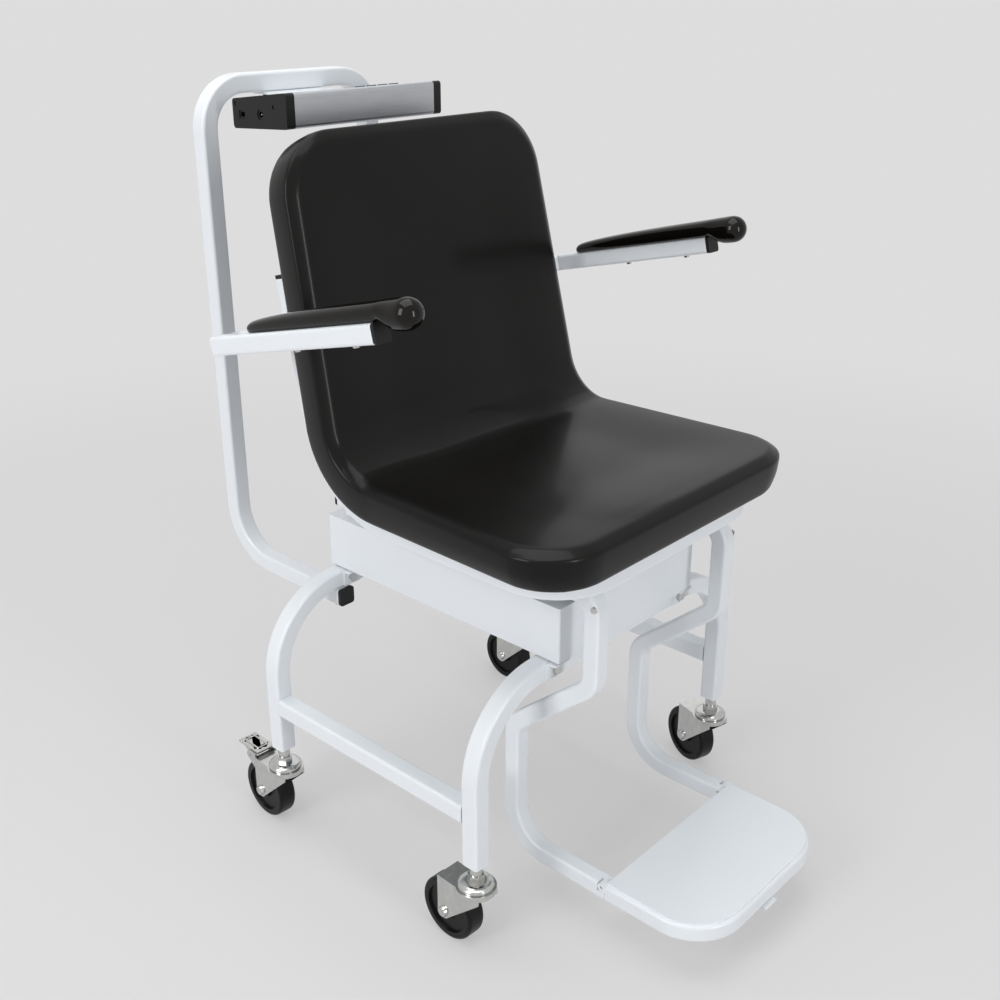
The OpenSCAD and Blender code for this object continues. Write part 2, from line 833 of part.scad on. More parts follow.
// Foot plate: a U of tube that folds up about the pins
module foot_frame() {
    back_y = split_y - air_gap;
    path = [
        [-foot_x, back_y, foot_z], [-foot_x, plate_y, foot_z],
        [foot_x, plate_y, foot_z], [foot_x, back_y, foot_z]];
    tongue_w = seat_s / 2 - air_gap;
    color("white") centred()
        difference() {
            union() {
                bent_tube(path, [plate_r, plate_r], seat_s);
                for (side = [-1, 1])
                    translate([side * foot_x, 0, 0]) {
                        translate([0, back_y - block_l / 2, foot_z])
                            cube([seat_s - tube_wall, block_l, seat_s - tube_wall], center = true);
                        translate([side * (seat_s - tongue_w) / 2, 0, 0]) {
                            translate([0, pin_y, pin_z]) rotate([0, 90, 0])
                                cylinder(r = knuckle_r, h = tongue_w, center = true);
                            translate([-tongue_w / 2, back_y - over, pin_z - knuckle_r])
                                cube([tongue_w, pin_y - back_y + over, 2 * knuckle_r]);
                        }
                    }
            }
            for (side = [-1, 1])
                translate([side * foot_x, pin_y, pin_z]) rotate([0, 90, 0])
                    cylinder(r = pin_r + run_fit, h = 2 * seat_s, center = true);
        }
}

module foot_sheet() {
    w = foot_x + seat_s / 2 - sheet_inset;
    y0 = plate_y - seat_s / 2 + sheet_inset;
    y1 = split_y - 2 * air_gap;
    r = plate_r + seat_s / 2 - sheet_inset;
    color("white") centred() translate([0, 0, sheet_z])
        linear_extrude(plate_t) {
            translate([-w, y0 + r]) square([2 * w, y1 - y0 - r]);
            translate([r - w, y0]) square([2 * (w - r), r]);
            for (x = [r - w, w - r])
                translate([x, y0 + r]) circle(r);
        }
}

// Lug under the front bar, to lift the plate with a toe
module pull_tab() {
    tab_w = 22;
    tab_l = 12;
    tab_t = 3;
    tab_x = -6;
    color("white") centred()
        translate([tab_x - tab_w / 2, plate_y - seat_s / 2 - tab_l / 3, foot_z - seat_s / 2 - tab_t])
            cube([tab_w, tab_l, tab_t]);
}

module hinge_pins() {
    length = seat_s - over;
    color("silver") centred()
        for (x = [-foot_x, foot_x])
            translate([x, pin_y, pin_z]) rotate([0, 90, 0]) cylinder(r = pin_r, h = length, center = true);
}

// Seat
function seat_path() = [
    [-rail_x, bend_y + bend_lap, seat_z], [-rail_x, bar_y, seat_z],
    [rail_x, bar_y, seat_z], [rail_x, bend_y + bend_lap, seat_z]];

module seat_screw_axes() {
    for (x = [-rail_x, rail_x]) {
        for (y = [bar_y + frame_corner_r + 2 * seat_s, bend_y - 2 * seat_s])
            translate([x, y, seat_z - seat_s / 2]) children();
        on_axes([x, corner_y, seat_z] + up_dir * (post_h - 2 * seat_s) - face_dir * seat_s / 2,
            [1, 0, 0], up_dir, face_dir) children();
    }
}

// Bend from the seat tube up into a post of the back, at X = 0
module back_post() {
    length = post_h / cos(back_lean) - bend_back;
    on_axes([0, bend_y, bend_z], [0, 0, -1], [0, 1, 0], [1, 0, 0]) {
        rotate_extrude(angle = bend_angle) translate([frame_bend_r, 0]) tube_ring(seat_s, bend_thin);
        rotate([0, 0, bend_angle]) translate([frame_bend_r, -bend_lap, 0]) rotate([-90, 0, 0])
            linear_extrude(length + bend_lap) tube_ring(seat_s);
    }
}

module seat_frame() {
    length = 2 * rail_x - seat_s + tube_wall;
    color("white") centred()
        difference() {
            union() {
                bent_tube(seat_path(), [frame_corner_r, frame_corner_r], seat_s);
                for (x = [-rail_x, rail_x])
                    translate([x, 0, 0]) back_post();
                translate([-length / 2, cross_tube_y, seat_z]) rotate([90, 0, 90])
                    linear_extrude(length) tube_ring(seat_s);
            }
            seat_screw_axes() translate([0, 0, -over])
                cylinder(r = screw_r + bolt_fit, h = seat_s + 2 * over);
        }
}

module seat_tube_caps() {
    head = 4;
    color("#202022") centred() {
        for (x = [-rail_x, rail_x])
            on_axes([x, post_top[1], post_top[2]], [1, 0, 0], face_dir * -1, up_dir) tube_cap(seat_s, head);
        for (x = [-foot_x, foot_x])
            translate([x, foot_rear_y, tube_z]) rotate([-90, 0, 0]) tube_cap(seat_s, head);
    }
}

// Seat outline: from the bend forward, with round front corners
module seat_outline(half, front, r) {
    translate([-half, front + r]) square([2 * half, bend_y + bend_lap - front - r]);
    translate([r - half, front]) square([2 * (half - r), r]);
    for (x = [r - half, half - r])
        translate([x, front + r]) circle(r);
}

// Back outline: tapering from the bend up to round top corners
module back_outline(half, top_half, height, r) {
    taper = atan2(half - top_half, height);
    corner = [top_half - r / cos(taper) + (r * tan(taper)), height - r];
    flank = corner + r * [cos(taper), sin(taper)];
    polygon([
        [-half, -bend_lap], [half, -bend_lap], flank, [corner[0], height],
        [-corner[0], height], [-flank[0], flank[1]]]);
    for (x = [-corner[0], corner[0]])
        translate([x, corner[1]]) circle(r);
}

// L-shaped slab between two radii of the bend, from the front of the seat to the top of the back
module seat_slab(r_in, r_out, half, top_half, inset, r) {
    t = r_out - r_in;
    translate([0, 0, bend_z - r_out]) linear_extrude(t) seat_outline(half, pad_front + inset, r);
    on_axes([0, bend_y, bend_z], [0, 0, -1], [0, 1, 0], [1, 0, 0])
        rotate_extrude(angle = bend_angle) translate([r_in + bend_thin, bend_thin - half])
            square([t - 2 * bend_thin, 2 * (half - bend_thin)]);
    on_axes([0, bend_y, bend_z] - face_dir * r_out, [1, 0, 0], up_dir, face_dir)
        linear_extrude(t) back_outline(half, top_half, back_h - inset, r);
}

module seat_board() {
    color("#2b2b2d") centred()
        difference() {
            seat_slab(board_r - board_t, board_r, rail_x + board_side, rail_x, board_inset, pad_r - board_inset);
            seat_screw_axes() cylinder(r = screw_r + run_fit, h = seat_s + board_t + 2 * over);
        }
}

module seat_pad() {
    color("#171718") centred() seat_slab(pad_bend_r, pad_bend_r + pad_t, pad_w / 2, pad_top_w / 2, 0, pad_r);
}

module seat_screws() {
    color("silver") centred() {
        seat_screw_axes() translate([0, 0, -air_gap]) pan_screw(seat_s + board_t);
        for (side = [-1, 1])
            foot_screw_axis(side) pan_screw(seat_s / 3);
    }
}

// Armrests
// Stubs of tube from the outer faces of the back posts to the arms
module armrest_bar() {
    color("white") centred()
        for (x = [-bar_end, bar_root])
            on_axes(bar_at + [x, 0, 0], up_dir, face_dir, [1, 0, 0])
                linear_extrude(bar_end - bar_root) tube_ring(seat_s);
}

module arm_pivots() {
    inner = seat_s - 2 * tube_wall - 2 * slip_fit;
    color("silver") centred()
        for (side = [-1, 1])
            translate([side * bar_end, bar_at[1], bar_at[2]]) rotate([0, side * 90, 0])
                rotate([0, 0, -side * back_lean]) {
                    translate([0, 0, -plug_l]) linear_extrude(plug_l)
                        rounded_rect(inner, inner, tube_r - tube_wall);
                    linear_extrude(pivot_flange) rounded_rect(seat_s, seat_s, tube_r);
                    cylinder(r = pivot_r, h = pivot_depth - over);
                }
}

module on_arm(side) {
    centred() translate([side * arm_x, bar_at[1], bar_at[2]]) rotate([-arm_tilt, 0, 0]) children();
}

module arm_screw_axes() {
    for (y = arm_screw_y)
        translate([0, y, -seat_s / 2]) children();
}

module arm_tube(side) {
    inner = seat_s - tube_wall;
    difference() {
        union() {
            translate([0, arm_tail, 0]) rotate([90, 0, 0])
                linear_extrude(arm_l + arm_tail) tube_ring(seat_s);
            translate([0, arm_tail - arm_block / 2, 0]) cube([inner, arm_block, inner], center = true);
        }
        translate([-side * (seat_s / 2 + over), 0, 0]) rotate([0, side * 90, 0])
            cylinder(r = pivot_r + run_fit, h = pivot_depth + over);
        arm_screw_axes() translate([0, 0, -over]) cylinder(r = screw_r + bolt_fit, h = seat_s + 2 * over);
    }
}

module arm_cap() {
    head = 4;
    translate([0, -arm_l, 0]) rotate([90, 0, 0]) tube_cap(seat_s, head);
}

// Grip turned about a line over the arm: it swells forward and ends in a ball
module arm_pad(side) {
    run = knob_y - pad_start;
    swell = [for (k = [0:0.1:1]) [grip_r + (neck_r - grip_r) * sin(90 * k), pad_start + run * k]];
    tail = [for (a = [0:15:75]) [grip_r * sin(a), pad_start + grip_r * cos(a)]];
    grip = concat(tail, swell, [[0, knob_y]]);
    axis_z = seat_s / 2 + grip_lift;
    difference() {
        translate([-side * grip_shift, 0, 0]) {
            difference() {
                translate([0, 0, axis_z]) rotate([90, 0, 0])
                    rotate_extrude() polygon([for (p = grip) [p[0], -p[1]]]);
                translate([-seat_s, knob_y - over, -seat_s / 2]) cube([2 * seat_s, -2 * knob_y, seat_s]);
            }
            translate([0, knob_y, axis_z]) sphere(r = knob_r);
        }
        arm_screw_axes() cylinder(r = screw_r + run_fit, h = seat_s * 1.4);
    }
}

module arm_screws() {
    arm_screw_axes() pan_screw(seat_s * 1.3);
}

module arm_tube_left() {
    color("white") on_arm(-1) arm_tube(-1);
}

module arm_tube_right() {
    color("white") on_arm(1) arm_tube(1);
}

module arm_cap_left() {
    color("#202022") on_arm(-1) arm_cap();
}

module arm_cap_right() {
    color("#202022") on_arm(1) arm_cap();
}

module arm_pad_left() {
    color("#0c0c0d") on_arm(-1) arm_pad(-1);
}

module arm_pad_right() {
    color("#0c0c0d") on_arm(1) arm_pad(1);
}

module arm_screws_left() {
    color("silver") on_arm(-1) arm_screws();
}

module arm_screws_right() {
    color("silver") on_arm(1) arm_screws();
}

// Push handle
function handle_path() = [
    [-handle_x, handle_tip_y, handle_low_z], [-handle_x, handle_y, handle_low_z],
    [-handle_x, handle_y, handle_top_z], [handle_x, handle_y, handle_top_z],
    [handle_x, handle_y, handle_low_z], [handle_x, handle_tip_y, handle_low_z]];

module bar_screw_axes() {
    for (x = [-tab_half_w + 10, tab_half_w - 10])
        translate([x, handle_y, handle_top_z - frame_s / 2 - bracket_plate]) children();
}

module push_handle() {
    radii = [handle_low_r, handle_top_r, handle_top_r, handle_low_r];
    color("white") centred()
        difference() {
            bent_tube(handle_path(), radii, frame_s);
            handle_bolt_axes() translate([0, 0, -over])
                cylinder(r = bolt_r + bolt_fit, h = frame_s + 2 * over);
            bar_screw_axes() cylinder(r = screw_r + bolt_fit, h = frame_s / 2);
        }
}

module handle_caps() {
    head = 4;
    color("#202022") centred()
        for (x = [-handle_x, handle_x])
            translate([x, handle_tip_y, handle_low_z]) rotate([90, 0, 0]) tube_cap(frame_s, head);
}

// Indicator
module on_top() {
    on_axes(top_at, [1, 0, 0], top_back, top_out) children();
}

module key_axes() {
    for (k = [0:3])
        translate([key_x0 + key_pitch * k, 0, 0]) children();
}

module rear_screw_axes() {
    for (x = [-tab_half_w + 10, tab_half_w - 10])
        translate([x, ind_y1 + bracket_plate, ind_core[1][1] + 8]) rotate([90, 0, 0]) children();
}

module bracket_hole() {
    translate([0, 0, -over]) cylinder(r = screw_r + bolt_fit, h = bracket_plate + 2 * over);
}

module indicator_bracket() {
    plate_top = handle_top_z - frame_s / 2;
    drop = plate_top - ind_core[1][1];
    color("white") centred()
        difference() {
            union() {
                translate([-tab_half_w, ind_y1, plate_top - bracket_plate])
                    cube([2 * tab_half_w, handle_y + frame_s / 2 - ind_y1, bracket_plate]);
                translate([-tab_half_w, ind_y1, plate_top - drop])
                    cube([2 * tab_half_w, bracket_plate, drop]);
            }
            bar_screw_axes() bracket_hole();
            rear_screw_axes() bracket_hole();
        }
}

// Extruded body with ledges inside that hold the circuit board
module indicator_body() {
    color("silver") centred()
        difference() {
            along_x(-ind_half, 2 * ind_half)
                difference() {
                    rounded_poly(ind_core, ind_r);
                    rounded_poly(ind_core, ind_r - body_wall);
                }
            on_top() {
                translate([window_x, 0, 0]) cube([window_w, window_d, 2 * ind_r], center = true);
                key_axes() cylinder(r = key_r + air_gap, h = 2 * ind_r, center = true);
            }
            rear_screw_axes() cylinder(r = screw_r + bolt_fit, h = bracket_plate + 2 * body_wall);
        }
}

// Point on an end cap: shares of the depth from the front and of the height from the top
function endcap_point(back, down) =
    let (y = ind_y0 + indicator_d * back)
    let (h = indicator_front_h * (1 - back) + indicator_rear_h * back)
    [y, ind_top - indicator_fall * back - down * h];

module endcap_axis(side, p) {
    translate([side * indicator_w / 2, p[0], p[1]]) rotate([0, -side * 90, 0]) children();
}

module endcap_screw_axes(side) {
    endcap_axis(side, endcap_point(0.23, 0.36)) children();
    endcap_axis(side, endcap_point(0.94, 0.18)) children();
}

module jack_axis() {
    endcap_axis(-1, endcap_point(0.48, 0.57)) children();
}

module data_axis() {
    endcap_axis(-1, endcap_point(0.82, 0.55)) children();
}

module indicator_cap(side) {
    difference() {
        union() {
            along_x(side > 0 ? ind_half : -indicator_w / 2, endcap_t) rounded_poly(ind_core, ind_r);
            along_x(side > 0 ? ind_half - spigot_l : -ind_half, spigot_l)
                difference() {
                    rounded_poly(ind_core, ind_r - body_wall - slip_fit);
                    rounded_poly(ind_core, ind_r - body_wall - 1);
                }
        }
        endcap_screw_axes(side) translate([0, 0, -over]) {
            cylinder(r = cap_screw_r + run_fit, h = endcap_t);
            cylinder(r = cap_head_r + bolt_fit, h = cap_sink + over);
        }
        if (side < 0) {
            jack_axis() translate([0, 0, -over]) cylinder(r = jack_r + slip_fit, h = endcap_t + 2 * over);
            data_axis() translate([0, 0, endcap_t / 2])
                cube([data_h + 2 * slip_fit, data_w + 2 * slip_fit, endcap_t + 2 * over], center = true);
        }
    }
}

module indicator_cap_left() {
    color("#19191b") centred() indicator_cap(-1);
}

module indicator_cap_right() {
    color("#19191b") centred() indicator_cap(1);
}

module indicator_window() {
    rim = body_wall;
    color("#20262a") centred() on_top() translate([window_x, 0, 0]) {
        translate([0, 0, -body_wall / 2])
            cube([window_w - 2 * slip_fit, window_d - 2 * slip_fit, body_wall], center = true);
        translate([0, 0, -body_wall - window_rim / 2])
            cube([window_w + 2 * rim, window_d + 2 * rim, window_rim], center = true);
    }
}

module indicator_board() {
    l = 2 * ind_half - 4 * spigot_l;
    w = indicator_d - 2 * ind_r - 2 * body_wall;
    switch_h = pcb_drop - pcb_t - body_wall - air_gap - key_flange - key_travel - 2 * air_gap;
    color("green") centred() on_top() {
        translate([0, 0, -pcb_drop + pcb_t / 2]) cube([l, w, pcb_t], center = true);
        key_axes() translate([-switch_s / 2, -switch_s / 2, pcb_t - pcb_drop])
            cube([switch_s, switch_s, switch_h]);
        translate([window_x, 0, (pcb_t - pcb_drop - body_wall - window_rim) / 2])
            cube([window_w - 8, window_d - 4, pcb_drop - pcb_t - body_wall - window_rim], center = true);
    }
}

module indicator_sockets() {
    jack_bore = 3.2;
    color("#2a2a2c") centred() {
        jack_axis() translate([0, 0, over])
            difference() {
                cylinder(r = jack_r, h = endcap_t);
                translate([0, 0, -over]) cylinder(r = jack_bore, h = endcap_t - over);
            }
        data_axis() translate([0, 0, over + endcap_t / 2])
            difference() {
                cube([data_h, data_w, endcap_t], center = true);
                translate([0, 0, -3]) cube([data_h - 4, data_w - 4, endcap_t], center = true);
            }
    }
}

module indicator_screws() {
    color("silver") centred() {
        for (side = [-1, 1])
            endcap_screw_axes(side) translate([0, 0, cap_sink])
                pan_screw(endcap_t - cap_sink - screw_head_h, cap_screw_r, cap_head_r);
        bar_screw_axes() pan_screw(frame_s / 3);
        rear_screw_axes() pan_screw(bracket_plate + body_wall + 2);
    }
}

module key(k) {
    color("#3a4a58") centred() on_top() translate([key_x0 + key_pitch * k, 0, 0]) {
        translate([0, 0, -body_wall - air_gap])
            cylinder(r = key_r, h = body_wall + air_gap + key_lift);
        translate([0, 0, -body_wall - air_gap - key_flange]) cylinder(r = key_r + key_rim, h = key_flange);
    }
}

module key_power() {
    key(0);
}

module key_tare() {
    key(1);
}

module key_hold() {
    key(2);
}

module key_unit() {
    key(3);
}

front_arch();
rear_arch();
side_rails();
leg_inserts();
frame_bolts();
castor_stems();
castor_fork_front_left();
castor_fork_front_right();
castor_fork_rear_left();
castor_fork_rear_right();
castor_wheel_front_left();
castor_wheel_front_right();
castor_wheel_rear_left();
castor_wheel_rear_right();
brake_pedal_left();
brake_pedal_right();
box_cover();
box_tray();
corner_brackets();
load_cells();
cell_spacers();
summing_board();
load_studs();
cross_bars();
footrest_tube_left();
footrest_tube_right();
seat_frame();
seat_tube_caps();
seat_board();
seat_pad();
seat_screws();
armrest_bar();
arm_pivots();
arm_tube_left();
arm_tube_right();
arm_cap_left();
arm_cap_right();
arm_pad_left();
arm_pad_right();
arm_screws_left();
arm_screws_right();
foot_frame();
foot_sheet();
pull_tab();
hinge_pins();
push_handle();
handle_caps();
indicator_bracket();
indicator_body();
indicator_cap_left();
indicator_cap_right();
indicator_window();
indicator_board();
indicator_sockets();
indicator_screws();
key_power();
key_tare();
key_hold();
key_unit();
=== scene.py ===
"""Dresses the chair scale: seat pad, arm grips, pedal treads, socket pin, finishes, light and camera."""

import json
import math

import bmesh
import bpy
from bpy.props import FloatProperty, FloatVectorProperty, IntProperty, PointerProperty
from mathutils import Matrix, Vector


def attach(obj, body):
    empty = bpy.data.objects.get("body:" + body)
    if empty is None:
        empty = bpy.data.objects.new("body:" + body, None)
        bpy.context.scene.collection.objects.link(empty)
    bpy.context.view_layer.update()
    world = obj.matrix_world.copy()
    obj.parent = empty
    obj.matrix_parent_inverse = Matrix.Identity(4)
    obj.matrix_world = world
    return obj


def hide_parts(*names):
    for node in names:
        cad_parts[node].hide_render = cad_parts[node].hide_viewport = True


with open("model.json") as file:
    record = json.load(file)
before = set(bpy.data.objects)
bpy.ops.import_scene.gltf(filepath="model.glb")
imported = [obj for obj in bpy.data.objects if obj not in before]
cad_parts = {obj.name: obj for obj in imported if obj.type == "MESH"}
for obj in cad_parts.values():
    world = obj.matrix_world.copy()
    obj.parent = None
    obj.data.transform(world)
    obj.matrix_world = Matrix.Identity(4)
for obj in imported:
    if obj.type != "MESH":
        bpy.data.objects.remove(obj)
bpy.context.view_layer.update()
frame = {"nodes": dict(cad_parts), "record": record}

bl_info = {
    "name": "Chair scale",
    "version": (1, 0, 0),
    "blender": (4, 5, 0),
    "location": "View3D > Sidebar > Chair scale",
    "description": "Builds the soft pieces and the finishes of a chair scale round its packed frame",
    "category": "Object",
}

MM = 0.001


def linear(code):
    """Linear colour of an sRGB hex code."""
    parts = [int(code[i : i + 2], 16) / 255 for i in (1, 3, 5)]
    return [c / 12.92 if c <= 0.04045 else ((c + 0.055) / 1.055) ** 2.4 for c in parts]


def put(tree, kind, sockets=None, **settings):
    """Adds a node with its settings; a socket given as a value is linked, a plain value is set."""
    made = tree.nodes.new(kind)
    for name, value in settings.items():
        setattr(made, name, value)
    for name, value in (sockets or {}).items():
        if isinstance(value, bpy.types.NodeSocket):
            tree.links.new(value, made.inputs[name])
        else:
            made.inputs[name].default_value = value
    return made


def blank(name):
    """New material with an empty node tree, its shader and its object coordinates."""
    material = bpy.data.materials.new(name)
    material.use_nodes = True
    tree = material.node_tree
    tree.nodes.clear()
    shader = put(tree, "ShaderNodeBsdfPrincipled")
    put(tree, "ShaderNodeOutputMaterial", {"Surface": shader.outputs["BSDF"]})
    place = put(tree, "ShaderNodeTexCoord").outputs["Object"]
    return material, tree, shader, place


def rgba(colour):
    """Colour with full alpha."""
    return (*colour, 1.0)


# Finishes


def satin_white_enamel(looks):
    """Stoved enamel on steel: a bright white with a soft gloss and a faint orange peel."""
    material, tree, shader, place = blank("satin_white_enamel")
    cloud = put(tree, "ShaderNodeTexNoise", {"Vector": place, "Scale": 1 / (180 * MM), "Detail": 1.0})
    tint = put(
        tree,
        "ShaderNodeMix",
        {"Factor": cloud.outputs["Fac"], "A": rgba(linear("#edf1f4")), "B": rgba(looks.enamel)},
        data_type="RGBA",
    )
    gloss = put(
        tree, "ShaderNodeMapRange", {"Value": cloud.outputs["Fac"], "To Min": 0.27, "To Max": 0.31}
    )
    # Orange peel is about 1 mm wide and is drawn at 2.5 mm so that it shows at all
    peel = put(tree, "ShaderNodeTexNoise", {"Vector": place, "Scale": 1 / (2.5 * MM), "Detail": 1.0})
    bump = put(
        tree, "ShaderNodeBump", {"Height": peel.outputs["Fac"], "Strength": 0.04, "Distance": 0.1 * MM}
    )
    tree.links.new(tint.outputs[2], shader.inputs["Base Color"])
    tree.links.new(gloss.outputs["Result"], shader.inputs["Roughness"])
    tree.links.new(bump.outputs["Normal"], shader.inputs["Normal"])
    shader.inputs["IOR"].default_value = 1.5
    shader.inputs["Coat Weight"].default_value = 0.25
    shader.inputs["Coat Roughness"].default_value = 0.12
    return material


def bright_zinc(looks):
    """Zinc plating on pressed steel: bright, from blue-grey to pale straw, with a cloudy gloss."""
    material, tree, shader, place = blank("bright_zinc")
    cloud = put(tree, "ShaderNodeTexNoise", {"Vector": place, "Scale": 1 / (9 * MM), "Detail": 4.0})
    tint = put(
        tree,
        "ShaderNodeMix",
        {"Factor": cloud.outputs["Fac"], "A": rgba(looks.zinc), "B": rgba(linear("#d8d6cc"))},
        data_type="RGBA",
    )
    gloss = put(
        tree, "ShaderNodeMapRange", {"Value": cloud.outputs["Fac"], "To Min": 0.1, "To Max": 0.26}
    )
    grain = put(tree, "ShaderNodeTexNoise", {"Vector": place, "Scale": 1 / (1.2 * MM), "Detail": 2.0})
    bump = put(
        tree, "ShaderNodeBump", {"Height": grain.outputs["Fac"], "Strength": 0.12, "Distance": 0.05 * MM}
    )
    tree.links.new(tint.outputs[2], shader.inputs["Base Color"])
    tree.links.new(gloss.outputs["Result"], shader.inputs["Roughness"])
    tree.links.new(bump.outputs["Normal"], shader.inputs["Normal"])
    shader.inputs["Metallic"].default_value = 1.0
    return material


def moulded_black_abs(looks):
    """Injection-moulded ABS: black with a fine spark-eroded grain and a dull sheen."""
    material, tree, shader, place = blank("moulded_black_abs")
    grain = put(tree, "ShaderNodeTexNoise", {"Vector": place, "Scale": 1 / (0.9 * MM), "Detail": 2.0})
    gloss = put(
        tree, "ShaderNodeMapRange", {"Value": grain.outputs["Fac"], "To Min": 0.38, "To Max": 0.56}
    )
    bump = put(
        tree, "ShaderNodeBump", {"Height": grain.outputs["Fac"], "Strength": 0.2, "Distance": 0.08 * MM}
    )
    tree.links.new(gloss.outputs["Result"], shader.inputs["Roughness"])
    tree.links.new(bump.outputs["Normal"], shader.inputs["Normal"])
    shader.inputs["Base Color"].default_value = rgba(looks.abs_black)
    shader.inputs["IOR"].default_value = 1.53
    shader.inputs["Specular IOR Level"].default_value = 0.28
    return material


def polished_black_plastic(looks):
    """Glossy moulded plastic: deep black-brown with sharp reflections and faint flow waves."""
    material, tree, shader, place = blank("polished_black_plastic")
    wave = put(tree, "ShaderNodeTexNoise", {"Vector": place, "Scale": 1 / (22 * MM), "Detail": 1.0})
    gloss = put(
        tree, "ShaderNodeMapRange", {"Value": wave.outputs["Fac"], "To Min": 0.05, "To Max": 0.1}
    )
    bump = put(
        tree, "ShaderNodeBump", {"Height": wave.outputs["Fac"], "Strength": 0.08, "Distance": 0.4 * MM}
    )
    tree.links.new(gloss.outputs["Result"], shader.inputs["Roughness"])
    tree.links.new(bump.outputs["Normal"], shader.inputs["Normal"])
    shader.inputs["Base Color"].default_value = rgba(looks.grip_black)
    shader.inputs["IOR"].default_value = 1.5
    shader.inputs["Specular IOR Level"].default_value = 0.22
    shader.inputs["Coat Weight"].default_value = 0.1
    return material


def integral_skin_foam(looks):
    """Foam moulded with its own skin: black, satin, with a very fine leather-like grain."""
    material, tree, shader, place = blank("integral_skin_foam")
    cloud = put(tree, "ShaderNodeTexNoise", {"Vector": place, "Scale": 1 / (70 * MM), "Detail": 3.0})
    tint = put(
        tree,
        "ShaderNodeMix",
        {"Factor": cloud.outputs["Fac"], "A": rgba(looks.skin_dark), "B": rgba(looks.skin_light)},
        data_type="RGBA",
    )
    gloss = put(
        tree, "ShaderNodeMapRange", {"Value": cloud.outputs["Fac"], "To Min": 0.3, "To Max": 0.38}
    )
    # The grain's cells are about 0.6 mm across and are drawn at 1.4 mm so that they show
    cells = put(
        tree,
        "ShaderNodeTexVoronoi",
        {"Vector": place, "Scale": 1 / (1.4 * MM), "Randomness": 1.0},
        feature="SMOOTH_F1",
    )
    bump = put(
        tree, "ShaderNodeBump", {"Height": cells.outputs["Distance"], "Strength": 0.09, "Distance": 0.1 * MM}
    )
    tree.links.new(tint.outputs[2], shader.inputs["Base Color"])
    tree.links.new(gloss.outputs["Result"], shader.inputs["Roughness"])
    tree.links.new(bump.outputs["Normal"], shader.inputs["Normal"])
    shader.inputs["IOR"].default_value = 1.5
    shader.inputs["Specular IOR Level"].default_value = 0.1
    shader.inputs["Coat Weight"].default_value = 0.18
    shader.inputs["Coat Roughness"].default_value = 0.14
    return material


def black_castor_rubber(looks):
    """Solid rubber tyre on a nylon hub: black with a soft gloss and scuffs from rolling."""
    material, tree, shader, place = blank("black_castor_rubber")
    scuff = put(tree, "ShaderNodeTexNoise", {"Vector": place, "Scale": 1 / (6 * MM), "Detail": 5.0})
    tint = put(
        tree,
        "ShaderNodeMix",
        {"Factor": scuff.outputs["Fac"], "A": rgba(linear("#040405")), "B": rgba(looks.tyre_black)},
        data_type="RGBA",
    )
    gloss = put(
        tree, "ShaderNodeMapRange", {"Value": scuff.outputs["Fac"], "To Min": 0.22, "To Max": 0.5}
    )
    bump = put(
        tree, "ShaderNodeBump", {"Height": scuff.outputs["Fac"], "Strength": 0.1, "Distance": 0.1 * MM}
    )
    tree.links.new(tint.outputs[2], shader.inputs["Base Color"])
    tree.links.new(gloss.outputs["Result"], shader.inputs["Roughness"])
    tree.links.new(bump.outputs["Normal"], shader.inputs["Normal"])
    shader.inputs["Specular IOR Level"].default_value = 0.2
    return material


def brushed_anodised_aluminium(looks):
    """Extruded aluminium, brushed lengthways and anodised: pale grey with fine streaks along X."""
    material, tree, shader, place = blank("brushed_anodised_aluminium")
    stretch = put(tree, "ShaderNodeMapping", {"Vector": place, "Scale": (0.02, 1.0, 1.0)})
    # Brush lines are about 0.1 mm apart and are drawn at 0.6 mm so that they show
    lines = put(
        tree,
        "ShaderNodeTexNoise",
        {"Vector": stretch.outputs["Vector"], "Scale": 1 / (0.6 * MM), "Detail": 3.0},
    )
    tint = put(
        tree,
        "ShaderNodeMix",
        {"Factor": lines.outputs["Fac"], "A": rgba(linear("#a9acb0")), "B": rgba(looks.aluminium)},
        data_type="RGBA",
    )
    gloss = put(
        tree, "ShaderNodeMapRange", {"Value": lines.outputs["Fac"], "To Min": 0.32, "To Max": 0.5}
    )
    bump = put(
        tree, "ShaderNodeBump", {"Height": lines.outputs["Fac"], "Strength": 0.12, "Distance": 0.05 * MM}
    )
    tree.links.new(tint.outputs[2], shader.inputs["Base Color"])
    tree.links.new(gloss.outputs["Result"], shader.inputs["Roughness"])
    tree.links.new(bump.outputs["Normal"], shader.inputs["Normal"])
    shader.inputs["Metallic"].default_value = 1.0
    shader.inputs["Anisotropic"].default_value = 0.5
    return material


def smoked_acrylic(looks):
    """Smoked acrylic over a liquid-crystal display: dark green-grey and glossy."""
    material, tree, shader, place = blank("smoked_acrylic")
    haze = put(tree, "ShaderNodeTexNoise", {"Vector": place, "Scale": 1 / (30 * MM), "Detail": 2.0})
    gloss = put(
        tree, "ShaderNodeMapRange", {"Value": haze.outputs["Fac"], "To Min": 0.04, "To Max": 0.12}
    )
    tree.links.new(gloss.outputs["Result"], shader.inputs["Roughness"])
    shader.inputs["Base Color"].default_value = rgba(looks.window)
    shader.inputs["IOR"].default_value = 1.49
    shader.inputs["Coat Weight"].default_value = 0.5
    return material


def blackened_steel(looks):
    """Screws of oxide-blackened steel: dark grey with an oily sheen."""
    material, tree, shader, place = blank("blackened_steel")
    oil = put(tree, "ShaderNodeTexNoise", {"Vector": place, "Scale": 1 / (1.5 * MM), "Detail": 3.0})
    gloss = put(
        tree, "ShaderNodeMapRange", {"Value": oil.outputs["Fac"], "To Min": 0.3, "To Max": 0.5}
    )
    tree.links.new(gloss.outputs["Result"], shader.inputs["Roughness"])
    shader.inputs["Base Color"].default_value = rgba(looks.oxide)
    shader.inputs["Metallic"].default_value = 1.0
    return material


